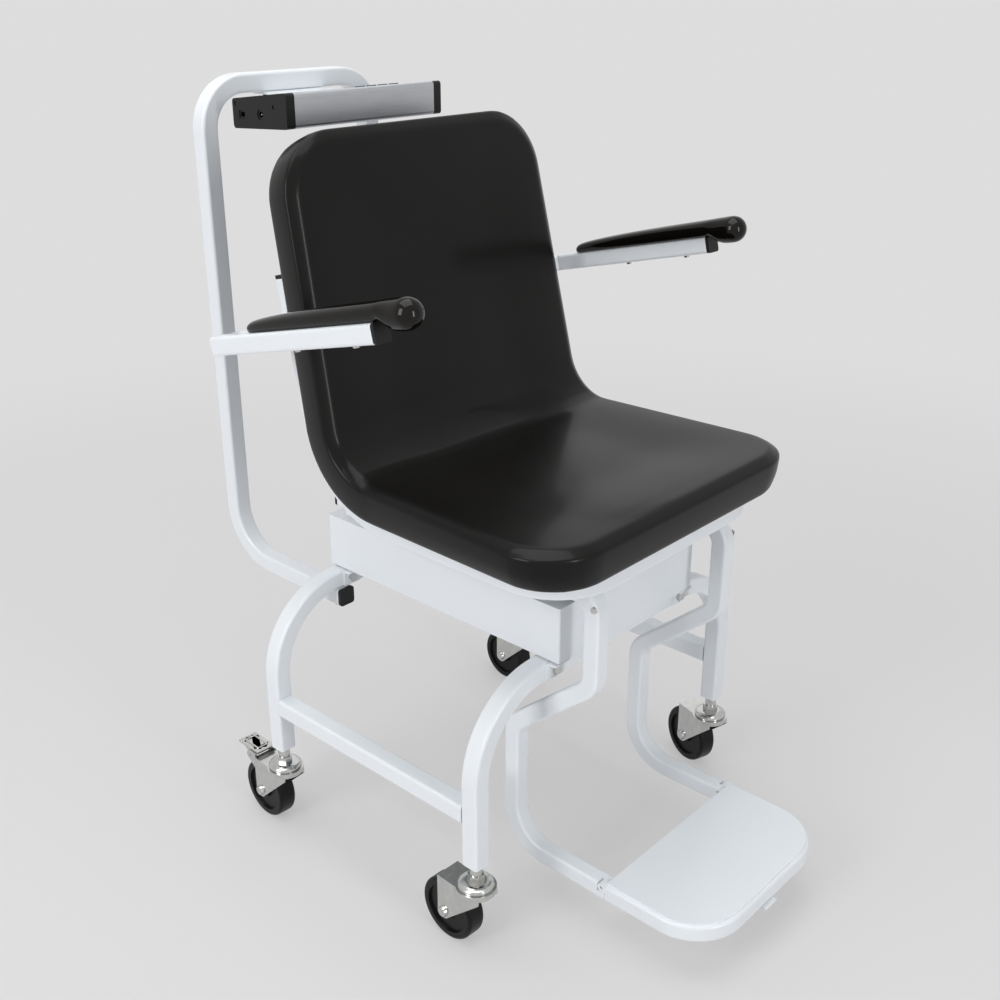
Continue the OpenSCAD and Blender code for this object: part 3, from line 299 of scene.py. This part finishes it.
def silicone_key(looks):
    """Moulded silicone key: grey-blue and matt, with a gloss that varies in a fine grain."""
    material, tree, shader, place = blank("silicone_key")
    grain = put(tree, "ShaderNodeTexNoise", {"Vector": place, "Scale": 1 / (0.8 * MM), "Detail": 2.0})
    gloss = put(
        tree, "ShaderNodeMapRange", {"Value": grain.outputs["Fac"], "To Min": 0.48, "To Max": 0.64}
    )
    tree.links.new(gloss.outputs["Result"], shader.inputs["Roughness"])
    shader.inputs["Base Color"].default_value = rgba(looks.key_grey)
    return material


def circuit_laminate(looks):
    """Glass-fibre laminate under a green solder mask: a mottled green, half glossy."""
    material, tree, shader, place = blank("circuit_laminate")
    weave = put(tree, "ShaderNodeTexNoise", {"Vector": place, "Scale": 1 / (2 * MM), "Detail": 2.0})
    tint = put(
        tree,
        "ShaderNodeMix",
        {"Factor": weave.outputs["Fac"], "A": rgba(linear("#12502c")), "B": rgba(looks.mask_green)},
        data_type="RGBA",
    )
    tree.links.new(tint.outputs[2], shader.inputs["Base Color"])
    shader.inputs["Roughness"].default_value = 0.35
    return material


def galvanised_sheet(looks):
    """Hot-dip galvanised sheet: dull grey with spangles about 8 mm across."""
    material, tree, shader, place = blank("galvanised_sheet")
    spangle = put(tree, "ShaderNodeTexVoronoi", {"Vector": place, "Scale": 1 / (8 * MM)})
    gloss = put(
        tree, "ShaderNodeMapRange", {"Value": spangle.outputs["Distance"], "To Min": 0.3, "To Max": 0.5}
    )
    tree.links.new(gloss.outputs["Result"], shader.inputs["Roughness"])
    shader.inputs["Base Color"].default_value = rgba(looks.galvanised)
    shader.inputs["Metallic"].default_value = 1.0
    return material


def stained_plywood(looks):
    """Plywood stained black: thin, slightly open grain along the seat."""
    material, tree, shader, place = blank("stained_plywood")
    along = put(tree, "ShaderNodeMapping", {"Vector": place, "Scale": (1.0, 0.08, 0.08)})
    grain = put(
        tree,
        "ShaderNodeTexNoise",
        {"Vector": along.outputs["Vector"], "Scale": 1 / (3 * MM), "Detail": 4.0},
    )
    tint = put(
        tree,
        "ShaderNodeMix",
        {"Factor": grain.outputs["Fac"], "A": rgba(linear("#141312")), "B": rgba(looks.stain)},
        data_type="RGBA",
    )
    bump = put(
        tree, "ShaderNodeBump", {"Height": grain.outputs["Fac"], "Strength": 0.25, "Distance": 0.2 * MM}
    )
    tree.links.new(tint.outputs[2], shader.inputs["Base Color"])
    tree.links.new(bump.outputs["Normal"], shader.inputs["Normal"])
    shader.inputs["Roughness"].default_value = 0.55
    return material


FINISHES = {
    "white_enamel": satin_white_enamel,
    "zinc_steel": bright_zinc,
    "black_plastic": moulded_black_abs,
    "gloss_black": polished_black_plastic,
    "wheel_rubber": black_castor_rubber,
    "tray_steel": galvanised_sheet,
    "cell_aluminium": brushed_anodised_aluminium,
    "circuit_board": circuit_laminate,
    "seat_board": stained_plywood,
    "seat_skin": integral_skin_foam,
    "brushed_aluminium": brushed_anodised_aluminium,
    "display_window": smoked_acrylic,
    "black_steel": blackened_steel,
    "key_plastic": silicone_key,
}
made_finishes = {}


def finish_of(slot):
    """The material of a record slot, made once."""
    maker = FINISHES[slot]
    if maker not in made_finishes:
        made_finishes[maker] = maker(bpy.context.scene.scale_looks)
    return made_finishes[maker]


# Shapes


def keep(bm, name, body, slot):
    """Turns a bmesh into a smooth piece that rides on a body, with the finish of its slot."""
    bmesh.ops.remove_doubles(bm, verts=bm.verts, dist=0.01 * MM)
    bmesh.ops.recalc_face_normals(bm, faces=bm.faces)
    mesh = bpy.data.meshes.new(name)
    bm.to_mesh(mesh)
    bm.free()
    for face in mesh.polygons:
        face.use_smooth = True
    piece = bpy.data.objects.new(name, mesh)
    bpy.context.scene.collection.objects.link(piece)
    mesh.materials.append(finish_of(slot))
    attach(piece, body)
    return piece


def soften(piece):
    """Rounds a piece by one level of subdivision."""
    smooth = piece.modifiers.new("soften", "SUBSURF")
    smooth.levels = smooth.render_levels = 1


def step_in(bm, face, steps):
    """Draws a face inwards, ring by ring; each step is (inset, rise) in mm."""
    for inset, rise in steps:
        bmesh.ops.inset_region(
            bm,
            faces=[face],
            thickness=inset * MM,
            depth=rise * MM,
            use_boundary=True,
            use_even_offset=True,
        )


# Sizes and colours


class ScaleSeat(bpy.types.PropertyGroup):
    """Sizes of the seat pad, in metres."""

    bend_y: FloatProperty(
        name="Bend centre Y", description="Centre of the seat's bend along Y", default=0.0215, unit="LENGTH"
    )
    bend_z: FloatProperty(
        name="Bend centre Z",
        description="Height of the centre of the seat's bend",
        default=0.5516,
        unit="LENGTH",
    )
    top_r: FloatProperty(
        name="Bend radius",
        description="Radius of the pad's top face in the bend",
        default=0.058,
        unit="LENGTH",
    )
    thickness: FloatProperty(
        name="Thickness", description="Thickness of the pad", default=0.045, unit="LENGTH"
    )
    lean: FloatProperty(
        name="Lean", description="Lean of the back", default=math.radians(12.3), subtype="ANGLE"
    )
    half_width: FloatProperty(
        name="Half width", description="Half the width of the seat", default=0.207, unit="LENGTH"
    )
    top_half_width: FloatProperty(
        name="Half width at the top",
        description="Half the width of the back's top",
        default=0.193,
        unit="LENGTH",
    )
    seat_length: FloatProperty(
        name="Seat length", description="Length from the front to the bend", default=0.268, unit="LENGTH"
    )
    back_height: FloatProperty(
        name="Back height", description="Length from the bend to the top", default=0.3065, unit="LENGTH"
    )
    corner_r: FloatProperty(
        name="Corner radius", description="Radius of the pad's corners", default=0.068, unit="LENGTH"
    )
    flare: FloatProperty(
        name="Flare", description="How far each side leans out at the front", default=0.014, unit="LENGTH"
    )
    dish: FloatProperty(
        name="Dish", description="Depth of the hollow in the pad's middle", default=0.006, unit="LENGTH"
    )


class ScaleArms(bpy.types.PropertyGroup):
    """Sizes of the arm grips, in metres."""

    pivot_x: FloatProperty(
        name="Arm X", description="Distance of each arm from the middle", default=0.266, unit="LENGTH"
    )
    pivot_y: FloatProperty(
        name="Pivot Y", description="Pivot along Y", default=0.159680, unit="LENGTH"
    )
    pivot_z: FloatProperty(
        name="Pivot Z", description="Height of the pivot", default=0.633318, unit="LENGTH"
    )
    tilt: FloatProperty(
        name="Tilt", description="Rise of the arms to the front", default=math.radians(13.5), subtype="ANGLE"
    )
    shift: FloatProperty(
        name="Shift", description="Shift of the grips towards the middle", default=0.004, unit="LENGTH"
    )
    knob_r: FloatProperty(
        name="Knob radius", description="Radius of the knob", default=0.0155, unit="LENGTH"
    )
    segments: IntProperty(name="Segments", description="Sides of each ring", default=28, min=12)


class ScaleLooks(bpy.types.PropertyGroup):
    """Colours of the finishes."""

    enamel: FloatVectorProperty(
        name="Enamel", description="White of the frame", default=linear("#eff3f6"), subtype="COLOR"
    )
    zinc: FloatVectorProperty(
        name="Zinc", description="Castors and fasteners", default=linear("#b3b8be"), subtype="COLOR"
    )
    abs_black: FloatVectorProperty(
        name="Black ABS", description="Caps and plugs", default=linear("#131315"), subtype="COLOR"
    )
    grip_black: FloatVectorProperty(
        name="Grip black", description="Arm grips", default=linear("#0c0a07"), subtype="COLOR"
    )
    skin_dark: FloatVectorProperty(
        name="Skin dark", description="Darker tone of the seat", default=linear("#0f0e0d"), subtype="COLOR"
    )
    skin_light: FloatVectorProperty(
        name="Skin light", description="Lighter tone of the seat", default=linear("#131211"), subtype="COLOR"
    )
    tyre_black: FloatVectorProperty(
        name="Tyre black", description="Castor wheels", default=linear("#121213"), subtype="COLOR"
    )
    aluminium: FloatVectorProperty(
        name="Aluminium", description="Body of the indicator", default=linear("#c9ccd0"), subtype="COLOR"
    )
    window: FloatVectorProperty(
        name="Window", description="Display window", default=linear("#20282a"), subtype="COLOR"
    )
    key_grey: FloatVectorProperty(
        name="Key grey", description="Keys of the indicator", default=linear("#56636e"), subtype="COLOR"
    )
    mask_green: FloatVectorProperty(
        name="Mask green", description="Circuit boards", default=linear("#1d6b3b"), subtype="COLOR"
    )
    galvanised: FloatVectorProperty(
        name="Galvanised", description="Tray of the box", default=linear("#b4b6b8"), subtype="COLOR"
    )
    stain: FloatVectorProperty(
        name="Stain", description="Board under the seat", default=linear("#262422"), subtype="COLOR"
    )
    oxide: FloatVectorProperty(
        name="Oxide", description="Blackened screws", default=linear("#3a3b3e"), subtype="COLOR"
    )
    floor: FloatVectorProperty(
        name="Floor", description="Pale floor of the stage", default=linear("#e2e0e0"), subtype="COLOR"
    )


# Pieces


class SCALE_OT_frame(bpy.types.Operator):
    """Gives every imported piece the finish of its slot"""

    bl_idname = "scale.frame"
    bl_label = "Frame finishes"

    def execute(self, context):
        for row in frame["record"]["subparts"]:
            mesh = frame["nodes"][row["node"]].data
            mesh.materials.clear()
            mesh.materials.append(finish_of(row["material_slot"]))
        return {"FINISHED"}


class SCALE_OT_seat(bpy.types.Operator):
    """Models the moulded seat pad: one L with a bevelled rim, tapering sides and a dished middle"""

    bl_idname = "scale.seat"
    bl_label = "Seat pad"

    # Rings from the widest line up to the flat middle, and down to the base: (inset, rise) in mm
    upper = (
        (0.2, 1.6), (0.8, 1.4), (1.6, 1.3), (3.0, 1.9), (3.2, 1.9), (2.4, 1.0), (2.2, 0.55), (2.4, 0.25),
        (4.0, 0.1), (6.0, 0.0), (10.0, 0.0),
    )
    lower = (
        (0.15, 3.0), (0.6, 8.0), (1.2, 8.0), (1.5, 8.0), (1.2, 4.5), (1.4, 2.5), (2.2, 1.0), (6.0, 0.0),
    )
    # Distance between the cuts that let the flat pad bend, in metres, and how many of them lie
    # to each side of the middle
    pitch = 0.02
    side_cuts = 9
    # Closer cuts through the bend, some of them just before it and just after it
    bend_cuts = 16
    past_bend = 3
    # No cut lies nearer than this to the front or the top, in metres
    margin = 0.004
    # The dish lies above this share of the thickness; it starts this far inside the edge and
    # reaches its depth over the fade, in metres
    dish_from = 0.8
    rim = 0.028
    fade = 0.1
    # Share of the flare that the base keeps
    base_flare = 0.55

    def execute(self, context):
        seat = context.scene.scale_seat
        turn = math.pi / 2 - seat.lean
        arc = (seat.top_r + seat.thickness / 2) * turn
        bend_end = seat.seat_length + arc
        length = bend_end + seat.back_height
        rise = sum(step[1] for step in self.lower) * MM
        corners = (
            (-seat.half_width, 0),
            (seat.half_width, 0),
            (seat.half_width, bend_end),
            (seat.top_half_width, length),
            (-seat.top_half_width, length),
            (-seat.half_width, bend_end),
        )
        bm = bmesh.new()
        verts = [bm.verts.new((x, y, rise)) for x, y in corners]
        bm.faces.new(verts)
        # The two points at the bend's end are not rounded
        bmesh.ops.bevel(
            bm,
            geom=[verts[i] for i in (0, 1, 3, 4)],
            offset=seat.corner_r,
            segments=14,
            profile=0.5,
            affect="VERTICES",
            material=-1,
        )
        base = bm.faces[:][0]
        crown = base.copy()
        for face, steps, out in ((base, self.lower, -1), (crown, self.upper, 1)):
            face.normal_update()
            if face.normal.z * out < 0:
                face.normal_flip()
            step_in(bm, face, steps)
        cuts = {self.pitch * k for k in range(1, int(length / self.pitch) + 1)}
        for k in range(-self.past_bend, self.bend_cuts + self.past_bend + 1):
            cuts.add(seat.seat_length + arc * k / self.bend_cuts)
        for v in sorted(cuts):
            if self.margin < v < length - self.margin:
                self.cut(bm, (0, v, 0), (0, 1, 0))
        for k in range(-self.side_cuts, self.side_cuts + 1):
            self.cut(bm, (self.pitch * k, 0, 0), (1, 0, 0))
        for vert in bm.verts:
            self.wrap(vert, seat, turn, arc, length, rise)
        piece = keep(bm, "seat_cushion", "cart", "seat_skin")
        soften(piece)
        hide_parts("seat_pad")
        return {"FINISHED"}

    @staticmethod
    def cut(bm, at, normal):
        """Cuts the whole pad along a plane and keeps both sides."""
        geom = bm.verts[:] + bm.edges[:] + bm.faces[:]
        bmesh.ops.bisect_plane(bm, geom=geom, dist=1e-6, plane_co=at, plane_no=normal)

    def wrap(self, vert, seat, turn, arc, length, rise):
        """Hollows and flares the flat pad, then lays it along the seat, the bend and the back."""
        u, v, w = vert.co
        if w > seat.thickness * self.dish_from:
            depth = seat.dish
            for inside in (seat.half_width - abs(u), min(v, length - v)):
                share = min(1.0, max(0.0, (inside - self.rim) / self.fade))
                depth *= share * share * (3 - 2 * share)
            w -= depth
        forward = max(0.0, 1 - v / seat.seat_length)
        u *= 1 + seat.flare / seat.half_width * forward * min(1.0, self.base_flare + w / rise)
        r = seat.top_r + seat.thickness - w
        angle = turn * min(1.0, max(0.0, (v - seat.seat_length) / arc))
        run = min(v, seat.seat_length) - seat.seat_length
        climb = max(0.0, v - seat.seat_length - arc)
        vert.co = (
            u,
            seat.bend_y + run + r * math.sin(angle) + climb * math.cos(angle),
            seat.bend_z - r * math.cos(angle) + climb * math.sin(angle),
        )


class SCALE_OT_grips(bpy.types.Operator):
    """Models the glossy arm grips: thin at the rear, swelling forward, with a ball at the front"""

    bl_idname = "scale.grips"
    bl_label = "Arm grips"

    # Rings from the rear, over the arm's middle: (run from the pivot, half width, underside, top) in mm
    rings = (
        (40.5, 2.5, 11.6, 14.0), (41.5, 5.0, 10.6, 16.6), (44.0, 7.0, 10.15, 19.2),
        (48.0, 8.2, 10.1, 21.0), (60.0, 9.4, 10.1, 22.8), (90.0, 11.0, 10.1, 25.0),
        (130.0, 12.2, 10.1, 26.8), (180.0, 13.2, 10.1, 28.0), (230.0, 13.8, 10.1, 28.6),
        (246.0, 14.0, 10.1, 28.8), (249.5, 14.1, 8.6, 28.9), (254.0, 14.3, 4.2, 29.0),
        (260.0, 14.6, 0.2, 29.2), (266.0, 14.9, -1.2, 29.3), (272.0, 15.2, -1.5, 29.4),
    )
    # Centre of the ball in mm, and the angle between the rings of its front half in degrees
    knob_run = 278.0
    knob_height = 14.0
    knob_step = 11
    # Up to this run in mm the underside is flat: this lowest share of a ring's height drops to it
    flat_end = 248.0
    flat_share = 0.18

    def execute(self, context):
        arms = context.scene.scale_arms
        knob = arms.knob_r / MM
        rings = list(self.rings)
        for degrees in range(0, 90, self.knob_step):
            run = self.knob_run + knob * math.sin(math.radians(degrees))
            r = knob * math.cos(math.radians(degrees))
            rings.append((run, r, self.knob_height - r, self.knob_height + r))
        for side, name in ((-1, "left"), (1, "right")):
            place = (
                Matrix.Translation((side * arms.pivot_x, arms.pivot_y, arms.pivot_z))
                @ Matrix.Rotation(-arms.tilt, 4, "X")
                @ Matrix.Translation((-side * arms.shift, 0, 0))
            )
            bm = bmesh.new()
            previous = None
            for run, half, low, top in rings:
                shape = (
                    Matrix.Translation((0, -run * MM, (low + top) / 2 * MM))
                    @ Matrix.Diagonal((half * MM, 1.0, (top - low) / 2 * MM, 1.0))
                    @ Matrix.Rotation(math.pi / 2, 4, "X")
                )
                made = bmesh.ops.create_circle(bm, segments=arms.segments, radius=1.0, matrix=shape)
                if run < self.flat_end:
                    self.flatten(made["verts"], low * MM, (top - low) * MM)
                loop = list({e for v in made["verts"] for e in v.link_edges})
                if previous:
                    bmesh.ops.bridge_loops(bm, edges=previous + loop)
                previous = [e for e in loop if e.is_valid]
            bmesh.ops.holes_fill(bm, edges=bm.edges, sides=0)
            bmesh.ops.transform(bm, matrix=place, verts=bm.verts)
            piece = keep(bm, "arm_grip_" + name, "arm_" + name, "gloss_black")
            soften(piece)
            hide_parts("arm_pad_" + name)
        return {"FINISHED"}

    def flatten(self, verts, low, height):
        """Squares off the lower half of a ring, so that it lies flat on the arm."""
        for v in verts:
            share = (v.co.z - low) / height
            if share < 0.5:
                v.co.z = low + height * max(0.0, share - self.flat_share) * 0.5 / (0.5 - self.flat_share)


class SCALE_OT_treads(bpy.types.Operator):
    """Models the panel embossed in the tread of each brake pedal"""

    bl_idname = "scale.treads"
    bl_label = "Pedal treads"

    # Rear castors: X of the swivel axis in metres, turn in degrees and side; both share one Y
    castors = ((-0.225, -3.0, "left"), (0.225, -4.0, "right"))
    castor_y = 0.1755
    # Panel along the pedal, from the swivel axis, in mm: middle, half length, half width and the
    # height of the pedal's top
    panel = (62.0, 15.0, 8.5, 89.3)
    corner_r = 2.5
    # Raised edge and sunk middle: (inset, rise) in mm
    steps = ((0.5, 0.5), (0.5, 0.4), (0.8, 0.1), (0.8, -0.1), (0.5, -0.35), (0.5, 0.0))

    def execute(self, context):
        mid, half_l, half_w, top = (v * MM for v in self.panel)
        for x, turn, name in self.castors:
            place = (
                Matrix.Translation((x, self.castor_y, 0))
                @ Matrix.Rotation(math.radians(turn), 4, "Z")
                @ Matrix.Translation((0, mid, top))
            )
            bm = bmesh.new()
            bmesh.ops.create_grid(bm, x_segments=1, y_segments=1, size=1.0)
            bmesh.ops.scale(bm, vec=(half_w, half_l, 1.0), verts=bm.verts)
            bmesh.ops.bevel(
                bm,
                geom=bm.verts[:],
                offset=self.corner_r * MM,
                segments=4,
                profile=0.5,
                affect="VERTICES",
                material=-1,
            )
            face = bm.faces[:][0]
            # The copy closes the panel underneath
            face.copy().normal_flip()
            step_in(bm, face, self.steps)
            bmesh.ops.transform(bm, matrix=place, verts=bm.verts)
            keep(bm, "pedal_tread_" + name, "pedal_" + name, "zinc_steel")
        return {"FINISHED"}


class SCALE_OT_jack(bpy.types.Operator):
    """Models the bright contact pin inside the power socket"""

    bl_idname = "scale.jack"
    bl_label = "Socket pin"

    # Where the pin's axis meets the face of the end cap, in metres
    mouth = (-0.118, 0.27158, 0.84204)
    # Outline of the pin from its tip inwards: (distance from the cap's face, radius) in mm
    outline = ((1.6, 0.0), (1.7, 0.45), (2.0, 0.8), (2.6, 1.0), (10.5, 1.0), (10.5, 0.0))

    def execute(self, context):
        at = Vector(self.mouth)
        bm = bmesh.new()
        verts = [bm.verts.new((at.x + x * MM, at.y, at.z + r * MM)) for x, r in self.outline]
        edges = [bm.edges.new(pair) for pair in zip(verts, verts[1:])]
        bmesh.ops.spin(
            bm, geom=verts + edges, cent=at, axis=(1, 0, 0), angle=2 * math.pi, steps=20, use_merge=True
        )
        keep(bm, "jack_pin", "cart", "zinc_steel")
        return {"FINISHED"}


class SCALE_OT_stage(bpy.types.Operator):
    """Sets the pale floor, the soft studio light and the camera"""

    bl_idname = "scale.stage"
    bl_label = "Stage"

    # Lamps: name, place, aim and size in metres, power in watts
    lamps = (
        ("overhead_softbox", (-0.3, 0.1, 3.0), (0.0, 0.0, 0.4), (2.4, 2.4), 40.0),
        ("left_softbox", (-3.0, 0.2, 1.7), (0.0, 0.0, 0.45), (1.2, 2.0), 38.0),
        ("front_strip", (-0.4, -3.0, 1.1), (0.0, 0.0, 0.5), (0.5, 1.8), 22.0),
        ("rear_right_softbox", (2.2, 1.8, 2.2), (0.0, 0.0, 0.5), (2.4, 2.4), 6.0),
    )
    # Camera fitted to the photo: place in metres, direction, and lens and sensor in mm
    eye = (-0.9891, -0.8785, 0.9855)
    ahead = (0.68025, 0.61899, -0.39250)
    lens = 44.42
    sensor = 36.0
    # Tone of the plain backdrop, and tone and strength of the light from all round
    backdrop = "#dedddd"
    air_tone = "#e6e9ee"
    air_strength = 0.42
    # The floor reaches this far, in metres; its share of plain backdrop grows from the near share
    # to 1 between these two distances from the origin
    floor_reach = 30.0
    near_share = 0.5
    fade_from = 0.5
    fade_to = 2.4

    def execute(self, context):
        scene = context.scene
        scene.view_settings.view_transform = "Standard"
        bm = bmesh.new()
        bmesh.ops.create_grid(bm, x_segments=1, y_segments=1, size=self.floor_reach)
        mesh = bpy.data.meshes.new("studio_floor")
        bm.to_mesh(mesh)
        bm.free()
        floor = bpy.data.objects.new("studio_floor", mesh)
        scene.collection.objects.link(floor)
        mesh.materials.append(self.paper(scene.scale_looks.floor))
        scene.world = self.air()

        for name, at, aim, size, power in self.lamps:
            lamp = bpy.data.lights.new(name, "AREA")
            lamp.shape = "RECTANGLE"
            lamp.size, lamp.size_y = size
            lamp.energy = power
            self.stand(scene, lamp, at, Vector(aim) - Vector(at))

        view = bpy.data.cameras.new("photo_view")
        view.sensor_width = self.sensor
        view.lens = self.lens
        scene.camera = self.stand(scene, view, self.eye, Vector(self.ahead))
        return {"FINISHED"}

    @staticmethod
    def stand(scene, data, at, direction):
        """Places a lamp or a camera and turns it in a direction."""
        holder = bpy.data.objects.new(data.name, data)
        holder.location = at
        holder.rotation_euler = direction.to_track_quat("-Z", "Y").to_euler()
        scene.collection.objects.link(holder)
        return holder

    @staticmethod
    def seen(tree):
        """1 where a camera, glossy or transmission ray asks, so that the backdrop shows unlit."""
        path = put(tree, "ShaderNodeLightPath").outputs
        share = path["Is Camera Ray"]
        for ray in ("Is Glossy Ray", "Is Transmission Ray"):
            share = put(tree, "ShaderNodeMath", {0: share, 1: path[ray]}, operation="MAXIMUM").outputs[0]
        return share

    def paper(self, colour):
        """Matt studio paper that keeps the shadow near the object and fades to an even pale tone."""
        material, tree, shader, place = blank("pale_studio_paper")
        shader.inputs["Base Color"].default_value = rgba(colour)
        shader.inputs["Roughness"].default_value = 0.9
        reach = put(tree, "ShaderNodeVectorMath", {0: place}, operation="LENGTH").outputs["Value"]
        sockets = {
            "Value": reach,
            "From Min": self.fade_from,
            "From Max": self.fade_to,
            "To Min": self.near_share,
        }
        far = put(tree, "ShaderNodeMapRange", sockets, interpolation_type="SMOOTHSTEP").outputs["Result"]
        share = put(tree, "ShaderNodeMath", {0: far, 1: self.seen(tree)}, operation="MULTIPLY").outputs[0]
        sockets = {"Color": rgba(linear(self.backdrop)), "Strength": 1.0}
        glow = put(tree, "ShaderNodeEmission", sockets).outputs[0]
        mix = put(tree, "ShaderNodeMixShader", {0: share, 1: shader.outputs[0], 2: glow})
        out = next(n for n in tree.nodes if n.type == "OUTPUT_MATERIAL")
        tree.links.new(mix.outputs[0], out.inputs["Surface"])
        return material

    def air(self):
        """Pale air that lights softly and shows as a pale wall."""
        world = bpy.data.worlds.new("studio_air")
        world.use_nodes = True
        tree = world.node_tree
        tree.nodes.clear()
        sockets = {"Color": rgba(linear(self.air_tone)), "Strength": self.air_strength}
        light = put(tree, "ShaderNodeBackground", sockets).outputs[0]
        sockets = {"Color": rgba(linear(self.backdrop)), "Strength": 1.0}
        wall = put(tree, "ShaderNodeBackground", sockets).outputs[0]
        mix = put(tree, "ShaderNodeMixShader", {0: self.seen(tree), 1: light, 2: wall})
        put(tree, "ShaderNodeOutputWorld", {"Surface": mix.outputs[0]})
        return world


class SCALE_PT_panel(bpy.types.Panel):
    """Lists the steps of the chair scale"""

    bl_idname = "SCALE_PT_panel"
    bl_label = "Chair scale"
    bl_space_type = "VIEW_3D"
    bl_region_type = "UI"
    bl_category = "Chair scale"

    def draw(self, context):
        for step in STEPS:
            self.layout.operator(step.bl_idname)


STEPS = (
    SCALE_OT_frame,
    SCALE_OT_seat,
    SCALE_OT_grips,
    SCALE_OT_treads,
    SCALE_OT_jack,
    SCALE_OT_stage,
)
GROUPS = {"scale_seat": ScaleSeat, "scale_arms": ScaleArms, "scale_looks": ScaleLooks}
CLASSES = (*GROUPS.values(), *STEPS, SCALE_PT_panel)


def register():
    for cls in CLASSES:
        bpy.utils.register_class(cls)
    for name, group in GROUPS.items():
        setattr(bpy.types.Scene, name, PointerProperty(type=group))


def unregister():
    for name in GROUPS:
        delattr(bpy.types.Scene, name)
    for cls in reversed(CLASSES):
        bpy.utils.unregister_class(cls)


def main():
    register()
    bpy.ops.scale.frame()
    bpy.ops.scale.seat()
    bpy.ops.scale.grips()
    bpy.ops.scale.treads()
    bpy.ops.scale.jack()
    bpy.ops.scale.stage()


if __name__ == "__main__":
    main()
